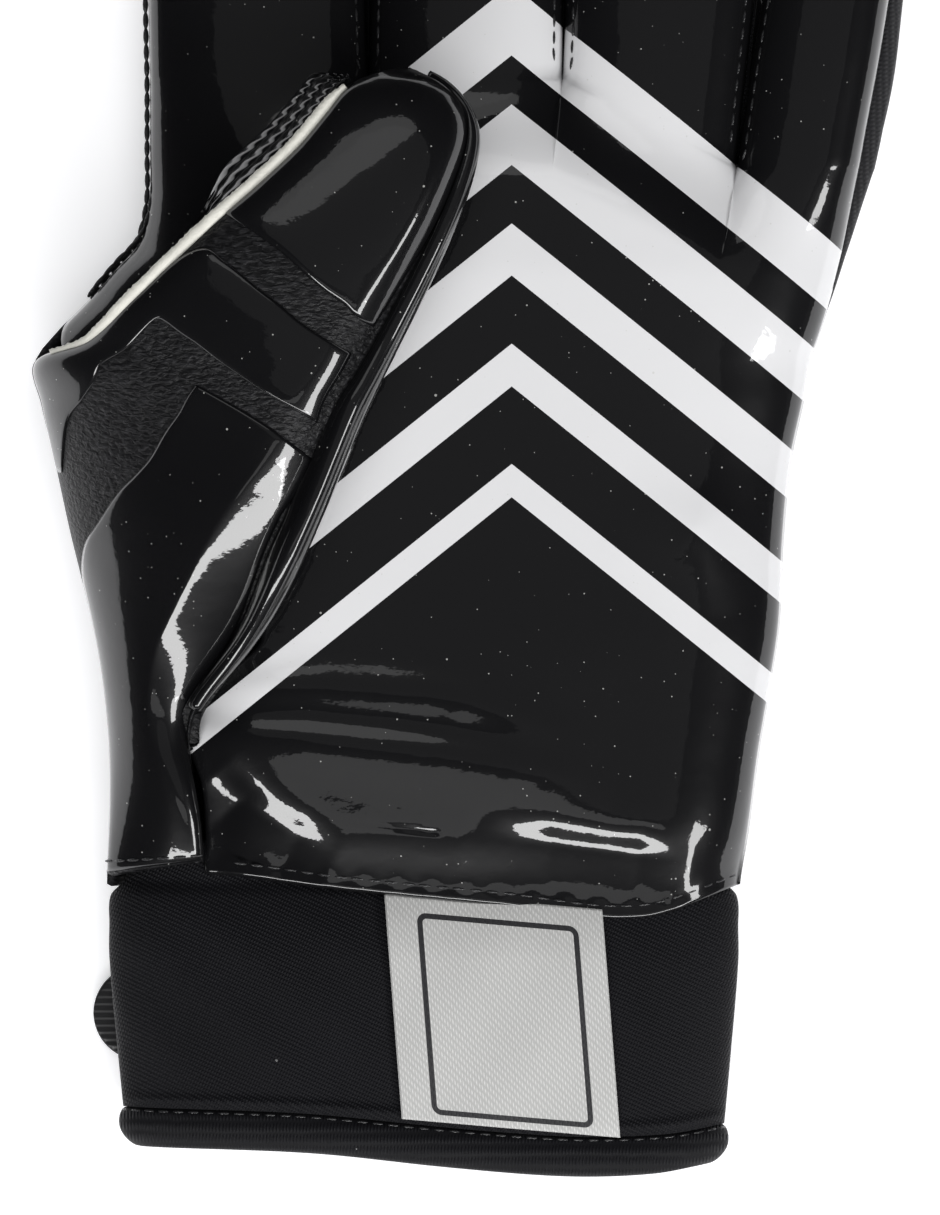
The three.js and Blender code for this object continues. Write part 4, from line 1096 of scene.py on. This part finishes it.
PLEATS = 3
PLEAT_WIDTH = 1.25
PLEAT_DEPTH = 0.6
GUSSET_SPAN = (11.3, 16.7)
TWIST_PITCH = 0.36
gusset_at, gusset_line, gusset_out = along_edge(GUSSET_SPAN)
gusset_share = np.linspace(0, 1, 46)
gusset_fade = ease((gusset_at - GUSSET_SPAN[0]) / 1.6) * ease((GUSSET_SPAN[1] - gusset_at) / 1.0)
reach = PLEATS * PLEAT_WIDTH * gusset_share[None, :] * gusset_fade[:, None] + CORE_WIDTH * 0.7
pleat = np.abs(np.sin(np.pi * PLEATS * gusset_share)) ** 0.6 * PLEAT_DEPTH
strand = np.floor(PLEATS * gusset_share)
twists = gusset_at[:, None] / TWIST_PITCH + gusset_share[None, :] * PLEATS * 0.8 + strand / 3
twist = 0.16 * np.sin(2 * np.pi * twists)
fall = -0.3 - 4.2 * gusset_share ** 1.2
gusset_heights = fall[None, :] + pleat[None, :] * (1 + twist)
gusset_grid = (gusset_line[:, None, :] + gusset_out[:, None, :] * reach[..., None]
               + np.array([0, 0, 1]) * gusset_heights[..., None])
gusset = skin("pleated_gusset", gusset_grid[:, ::-1].reshape(-1, 3), grid_faces(*gusset_grid.shape[:2]), 0.5,
              None, black_gloss)


# Cuff
# The wrist is a tube of fine twill knit, its upper end sewn inside the palm's hem. It lies a little
# slack, with a bead above the binding.

CUFF_LENGTH = 29
CUFF_RISE = 14
CUFF_WALL = 2.2
STRAP_THICKNESS = 1.8
STRAP_GAP = 0.3
CUFF_BASE = STRAP_THICKNESS + STRAP_GAP
CUFF = {"down": (-0.17, 0.0, 0.07, 0.2, 0.34, 0.69, 1.0, 1.1, 1.19),
        "half": (0.462, 0.472, 0.494, 0.496, 0.496, 0.485, 0.474, 0.47, 0.452),
        "rise": (0.76, 0.77, 0.84, 0.93, 0.98, 1.0, 0.98, 0.96, 0.9)}
DROOP = {"across": (-1.0, -0.4, 0.1, 0.5, 0.8, 1.0), "drop": (-0.02, 0.005, 0.068, 0.105, 0.096, 0.055)}


def cuff_point(turn, below, inset):
    down = below / CUFF_LENGTH
    half = curve(CUFF, "half", down) * WRIST_WIDTH - inset
    rise = curve(CUFF, "rise", down) * CUFF_RISE
    across = np.sign(np.cos(turn)) * np.abs(np.cos(turn)) ** 0.6
    high = np.sign(np.sin(turn)) * np.abs(np.sin(turn)) ** 0.8
    droop = curve(DROOP, "drop", across) * CUFF_LENGTH * np.clip(down, 0, 1)
    return np.stack([across * half, -below - droop, CUFF_BASE + rise / 2 + high * (rise / 2 - inset)], -1)


def tube(name, rings, finish):
    """A closed tube of rings of points."""
    wrapped = ring_numbers(rings)
    wrapped = np.concatenate([wrapped, wrapped[:1]], 0)
    return skin(name, rings.reshape(-1, 3), weave_rows(wrapped), finish=finish)


CUFF_BLACK = (0.0048, 0.0048, 0.0062, 1)
CUFF_SLANT = 0.42
CUFF_BEAD = 0.45
cuff_knit = knit_finish("cuff_twill_knit", CUFF_BLACK, ribs_across=0.36, ribs_along=0.5, slant=CUFF_SLANT,
                        depth=0.00014, fuzz=0.00004, sheen=0.02)
cuff_turns = np.linspace(0, 2 * np.pi, 240, endpoint=False)
outer_rows = np.linspace(-CUFF_TUCK, CUFF_LENGTH, 120)
outer = np.stack([cuff_point(cuff_turns, below, 0) for below in outer_rows])
ripple = 0.16 * np.sin(outer[..., 0] * 0.5 + outer[..., 1] * 0.35) * np.sin(outer[..., 1] * 0.23)
bead = CUFF_BEAD * np.exp(-(((outer_rows - CUFF_LENGTH + 1.1) / 0.6) ** 2))
swelling = ripple * ease((outer_rows - 2) / 6)[:, None] + bead[:, None]
outer[..., 2] += swelling * np.sign(np.sin(cuff_turns))[None, :]
inside = np.stack([cuff_point(cuff_turns, below, CUFF_WALL) for below in outer_rows[::-5]])
cuff = tube("cuff", np.concatenate([outer, inside]), cuff_knit)
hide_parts("cuff_band")


# Binding
# The wrist opening is finished with a soft rolled hem of ribbed knit. It wraps the cuff's edge and is
# topstitched along its upper side.

BINDING_WIDTH = 5
BINDING_SWELL = 0.7
BINDING_BLACK = (0.0042, 0.0042, 0.0054, 1)
binding_knit = knit_finish("binding_ribbed_knit", BINDING_BLACK, ribs_across=0.42, ribs_along=1.4, slant=0.0,
                           depth=0.00018, fuzz=0.00003, sheen=0.02)
ROLL_SIDES = 30
roll_turns = 2 * np.pi * (np.arange(ROLL_SIDES) + 0.5) / ROLL_SIDES
binding_rows = []
for turn in roll_turns:
    below = CUFF_LENGTH + 0.05 + BINDING_WIDTH / 2 * (1 - math.cos(turn))
    round_side = math.copysign(abs(math.sin(turn)) ** 0.55, math.sin(turn))
    inset = CUFF_WALL / 2 - (CUFF_WALL / 2 + BINDING_SWELL) * round_side
    ring = cuff_point(cuff_turns, below, inset)
    binding_rows.append(ring)
binding = tube("binding", np.stack(binding_rows), binding_knit)
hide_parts("cuff_binding")


# Label
# A woven satin label with a black border, bare inside it, lies on the cuff. Its upper end is sewn
# under the palm's hem.

LABEL_WIDTH = 27.4
LABEL_LENGTH = 26.2
LABEL_THICKNESS = 0.5
LABEL_MIDDLE = 9.9
LABEL_SLOPE = math.radians(-5)
LABEL_LEAN = math.radians(4.5)
LABEL_TUCK = 2.4  # length of the label hidden under the palm's hem
LABEL_GREY = (0.47, 0.47, 0.462, 1)
LABEL_INK = (0.012, 0.012, 0.014, 1)


def cuff_top(x, y):
    low, high = np.zeros_like(x), np.full_like(x, np.pi)
    for _ in range(28):
        turn = (low + high) / 2
        beyond = cuff_point(turn, -y, 0)[..., 0] > x
        low = np.where(beyond, turn, low)
        high = np.where(beyond, high, turn)
    return cuff_point(low, -y, 0)[..., 2]


label_middle_y = -float(curve(HEM, "drop", 0.7)) * PALM_LENGTH - SEAM_GAP * 3 - LABEL_LENGTH / 2
label_s, label_t = np.meshgrid(np.linspace(-0.5, 0.5, 90),
                               np.linspace(-0.5, 0.5 + LABEL_TUCK / LABEL_LENGTH, 96))
across, up = label_s * LABEL_WIDTH, label_t * LABEL_LENGTH
label_x = LABEL_MIDDLE + across * math.cos(LABEL_SLOPE) - up * math.sin(LABEL_LEAN)
label_y = label_middle_y + across * math.sin(LABEL_SLOPE) + up * math.cos(LABEL_LEAN)
label_z = cuff_top(label_x, label_y) + SEAM_GAP
label_z += 0.12 * np.sin(label_x * 0.45) * np.sin(label_y * 0.3)
label_low = np.stack([label_x, label_y, label_z], -1)
label_top = label_low + (0, 0, LABEL_THICKNESS)

label_finish, nodes, links, shader = new_material("woven_label")
flat = node(nodes, "ShaderNodeUVMap", uv_map="weave")
parts = node(nodes, "ShaderNodeSeparateXYZ")
links.new(flat.outputs[0], parts.inputs[0])
BORDER_HALF = (9.8, 12.3)
BORDER_MIDDLE = (0.33, 0.45)
BORDER_ROUND = 0.9
BORDER_LINE = 0.34
LABEL_WARP, LABEL_WEFT = 0.34, 0.5
beyond = []
for axis, half, middle in zip(("X", "Y"), BORDER_HALF, BORDER_MIDDLE):
    off_middle = maths(nodes, links, "SUBTRACT", parts.outputs[axis], middle * MM)
    reach = maths(nodes, links, "ABSOLUTE", off_middle)
    past = maths(nodes, links, "SUBTRACT", reach, (half - BORDER_ROUND) * MM)
    beyond.append(maths(nodes, links, "MAXIMUM", past, 0.0))
squares = [maths(nodes, links, "POWER", part, 2.0) for part in beyond]
corner = maths(nodes, links, "SQRT", maths(nodes, links, "ADD", *squares))
from_line = maths(nodes, links, "ABSOLUTE", maths(nodes, links, "SUBTRACT", corner, BORDER_ROUND * MM))
ink = maths(nodes, links, "LESS_THAN", from_line, BORDER_LINE * MM)
thread = bands(nodes, links, flat.outputs[0], "X", LABEL_WARP, 1.2)
weft = bands(nodes, links, flat.outputs[0], "DIAGONAL", LABEL_WEFT, 1.0)
satin = maths(nodes, links, "MULTIPLY", thread, weft)
tone = mixed(nodes, links, satin, toned(LABEL_GREY, 0.75), toned(LABEL_GREY, 1.15))
links.new(mixed(nodes, links, ink, tone, LABEL_INK), shader.inputs["Base Color"])
preset(shader, {"Roughness": 0.55, "Sheen Weight": 0.2})
links.new(bump(nodes, links, satin, 0.8, 0.00006), shader.inputs["Normal"])
label = slab("woven_label", label_low, label_top, label_finish)
cut_x, cut_y = np.tile(across.ravel(), 2) * MM, np.tile(up.ravel(), 2) * MM
label_map = label.data.uv_layers.new(name="weave")
corner_of = np.empty(len(label.data.loops), int)
label.data.loops.foreach_get("vertex_index", corner_of)
label_map.data.foreach_set("uv", np.stack([cut_x[corner_of], cut_y[corner_of]], 1).ravel())
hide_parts("label")


# Wrist strap
# The closure strap is a satin rubber band across the back of the cuff. Its moulded, finely ridged
# pull tab shows past the cuff's side.

STRAP_WIDTH = 22
STRAP_LENGTH = 48
TAB_WIDTH = 12
TAB_LENGTH = 13
TAB_REACH = 1.9
RIDGE_PITCH = 0.9
STRAP_BLACK = (0.01, 0.01, 0.011, 1)
strap_finish, nodes, links, shader = new_material("strap_rubber")
place = node(nodes, "ShaderNodeTexCoord").outputs["Object"]
preset(shader, {"Base Color": STRAP_BLACK, "Roughness": 0.4})
ridges = bands(nodes, links, place, "Y", RIDGE_PITCH)
links.new(bump(nodes, links, ridges, 0.6, 0.00012), shader.inputs["Normal"])
strap_tip = -WRIST_WIDTH / 2 - TAB_REACH
neck = strap_tip + TAB_LENGTH
shoulder_x = neck + (STRAP_WIDTH - TAB_WIDTH) / 2
strap_end = shoulder_x + STRAP_LENGTH
strap_y = -(CUFF_LENGTH + BINDING_WIDTH) / 2
round_end = strap_tip + TAB_WIDTH / 2 * (1 - np.cos(np.linspace(0, np.pi / 2, 24)))
tab_side = np.linspace(strap_tip + TAB_WIDTH / 2, neck, 8)[1:]
widening = np.linspace(neck, shoulder_x, 10)[1:]
full_width = np.linspace(shoulder_x, strap_end, 30)[1:]
strap_x = np.concatenate([round_end, tab_side, widening, full_width])
before_side = np.minimum(0, strap_x - strap_tip - TAB_WIDTH / 2)
round_tab = np.sqrt(np.maximum(0, (TAB_WIDTH / 2) ** 2 - before_side ** 2))
widened = ease((strap_x - neck) / (shoulder_x - neck)) * (STRAP_WIDTH - TAB_WIDTH) / 2
strap_half = np.where(strap_x <= neck, round_tab, TAB_WIDTH / 2 + widened)
strap_half = np.maximum(strap_half, 0.05)
across = np.linspace(-1, 1, 33)
strap_grid_x = np.repeat(strap_x[:, None], len(across), 1)
strap_grid_y = strap_y + strap_half[:, None] * across[None, :]
soft = 0.25 * (1 - np.sqrt(np.clip(1 - across[None, :] ** 10, 0, 1))) * np.ones_like(strap_grid_x)
strap_top = np.stack([strap_grid_x, strap_grid_y, STRAP_THICKNESS - soft], -1)
strap_low = np.stack([strap_grid_x, strap_grid_y, 0.02 + soft], -1)
strap = slab("strap", strap_low[:, ::-1], strap_top[:, ::-1], strap_finish)
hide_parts("wrist_strap")


# Stitches
# Black thread: a topstitch along the palm's hem and the binding, the seam at the index finger's
# side, and stitches on both sides of the finger roots.

THREAD_BLACK = (0.012, 0.012, 0.013, 1)
PLY_PITCH = 0.3
thread_finish, nodes, links, shader = new_material("black_thread")
preset(shader, {"Base Color": THREAD_BLACK, "Roughness": 0.28})
place = node(nodes, "ShaderNodeTexCoord").outputs["Object"]
plies = bands(nodes, links, place, "DIAGONAL", PLY_PITCH)
links.new(bump(nodes, links, plies, 0.7, 0.00005), shader.inputs["Normal"])


def stitch_tree():
    """Stitches along a curve: each is a stretched ball laid along the curve's run."""
    tree = bpy.data.node_groups.new("stitches_along_seam", "GeometryNodeTree")
    tree.interface.new_socket("Seam", in_out="INPUT", socket_type="NodeSocketGeometry")
    for name, value in (("Stitch pitch", 0.002), ("Stitch length", 0.0016), ("Thread thickness", 0.0004)):
        tree.interface.new_socket(name, in_out="INPUT", socket_type="NodeSocketFloat").default_value = value
    tree.interface.new_socket("Thread", in_out="INPUT", socket_type="NodeSocketMaterial")
    tree.interface.new_socket("Stitches", in_out="OUTPUT", socket_type="NodeSocketGeometry")
    nodes, links = tree.nodes, tree.links
    given = nodes.new("NodeGroupInput")
    result = nodes.new("NodeGroupOutput")
    to_curve = nodes.new("GeometryNodeMeshToCurve")
    spread = nodes.new("GeometryNodeCurveToPoints")
    spread.mode = "LENGTH"
    ball = nodes.new("GeometryNodeMeshUVSphere")
    preset(ball, {"Segments": 7, "Rings": 6, "Radius": 0.5})
    size = nodes.new("ShaderNodeCombineXYZ")
    place = nodes.new("GeometryNodeInstanceOnPoints")
    real = nodes.new("GeometryNodeRealizeInstances")
    dress = nodes.new("GeometryNodeSetMaterial")
    links.new(given.outputs["Seam"], to_curve.inputs["Mesh"])
    links.new(to_curve.outputs["Curve"], spread.inputs["Curve"])
    links.new(given.outputs["Stitch pitch"], spread.inputs["Length"])
    links.new(spread.outputs["Points"], place.inputs["Points"])
    links.new(spread.outputs["Rotation"], place.inputs["Rotation"])
    links.new(given.outputs["Thread thickness"], size.inputs["X"])
    links.new(given.outputs["Thread thickness"], size.inputs["Y"])
    links.new(given.outputs["Stitch length"], size.inputs["Z"])
    links.new(ball.outputs["Mesh"], place.inputs["Instance"])
    links.new(size.outputs[0], place.inputs["Scale"])
    links.new(place.outputs["Instances"], real.inputs[0])
    links.new(real.outputs[0], dress.inputs["Geometry"])
    links.new(given.outputs["Thread"], dress.inputs["Material"])
    links.new(dress.outputs[0], result.inputs["Stitches"])
    return tree


stitches = stitch_tree()


def sew(name, line, pitch, length, thickness):
    """A row of stitches along a line of points in millimetres."""
    guide = bpy.data.meshes.new(name)
    points = (np.asarray(line) * MM + SHIFT).tolist()
    guide.from_pydata(points, [(k, k + 1) for k in range(len(points) - 1)], [])
    row = bpy.data.objects.new(name, guide)
    bpy.context.collection.objects.link(row)
    threader = row.modifiers.new("stitches", "NODES")
    threader.node_group = stitches
    values = {"Stitch pitch": pitch * MM, "Stitch length": length * MM, "Thread thickness": thickness * MM,
              "Thread": thread_finish}
    for item in stitches.interface.items_tree:
        if item.in_out == "INPUT" and item.name in values:
            threader[item.identifier] = values[item.name]
    bpy.context.view_layer.update()
    sewn = bpy.data.meshes.new_from_object(row.evaluated_get(bpy.context.evaluated_depsgraph_get()))
    row.modifiers.clear()
    row.data = sewn
    sewn.shade_smooth()
    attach(row, "root")


def palm_surface(x, y):
    """Height of the palm's outer side at a point, folds and the fall to the hem included."""
    left, right = side_x("left", y), side_x("right", y)
    across = np.clip((x - left) / (right - left), 0, 1)
    return palm_height(across, x, y) + fold_height(x, y) * side_fade(across) - hem_fall(across, y)[0]


STITCH_PITCH, STITCH_LENGTH, THREAD_THICK = 2.1, 1.7, 0.42
hem_across = np.linspace(0.21, 0.985, 160)
hem_y = -curve(HEM, "drop", hem_across) * PALM_LENGTH + HEM_INSET
hem_x = blend(side_x("left", hem_y), side_x("right", hem_y), hem_across)
hem_line = np.stack([hem_x, hem_y, palm_surface(hem_x, hem_y) - 0.05], -1)
sew("hem_topstitch", hem_line, STITCH_PITCH, STITCH_LENGTH, THREAD_THICK)
root_shares = np.linspace(0.04, 0.93, 40)
root_line = cover_lifted(np.full(40, 0.16), root_shares, np.full(40, PAD_HEIGHT))
sew("root_topstitch", root_line, STITCH_PITCH, STITCH_LENGTH, THREAD_THICK)

# The finger roots are topstitched in a U round the end of each slit.
SLIT_ROWS = 26
SLIT_COLUMN = 5
for k in range(len(FINGERS) - 1):
    left_side = finger_fronts[k][SLIT_ROWS:0:-1, -1 - SLIT_COLUMN]
    right_side = finger_fronts[k + 1][1:SLIT_ROWS, SLIT_COLUMN]
    end = finger_fronts[k][:1, -1] + (0, -0.9, 0.3)
    around = np.concatenate([left_side, end, right_side])
    sew("slit_topstitch_" + str(k + 1), around, STITCH_PITCH, STITCH_LENGTH, THREAD_THICK)

# An overlock chain joins the palm to the back along the index finger.
CHAIN_FROM, CHAIN_ROWS = 0.735, 36
CHAIN_PITCH, CHAIN_STITCH = 2.0, 2.3
chain_y = np.linspace(CHAIN_FROM, 0.995, 60) * PALM_LENGTH
palm_side = np.stack([side_x("left", chain_y), chain_y, np.full(60, SEAM_HEIGHT)], -1)
finger_side = finger_fronts[0][1:CHAIN_ROWS, 0]
chain = np.concatenate([palm_side, finger_side])
sew("index_chain_outer", chain + (-0.4, 0, -0.3), CHAIN_PITCH, CHAIN_STITCH, 0.75)
sew("index_chain_inner", chain + (0.3, 1.0, 0.9), CHAIN_PITCH, CHAIN_STITCH, 0.6)

binding_turns = np.linspace(0.06 * np.pi, 0.94 * np.pi, 200)
binding_line = cuff_point(binding_turns, CUFF_LENGTH + 0.4, -0.1)
sew("binding_topstitch", binding_line[::-1], 1.9, 1.4, 0.38)
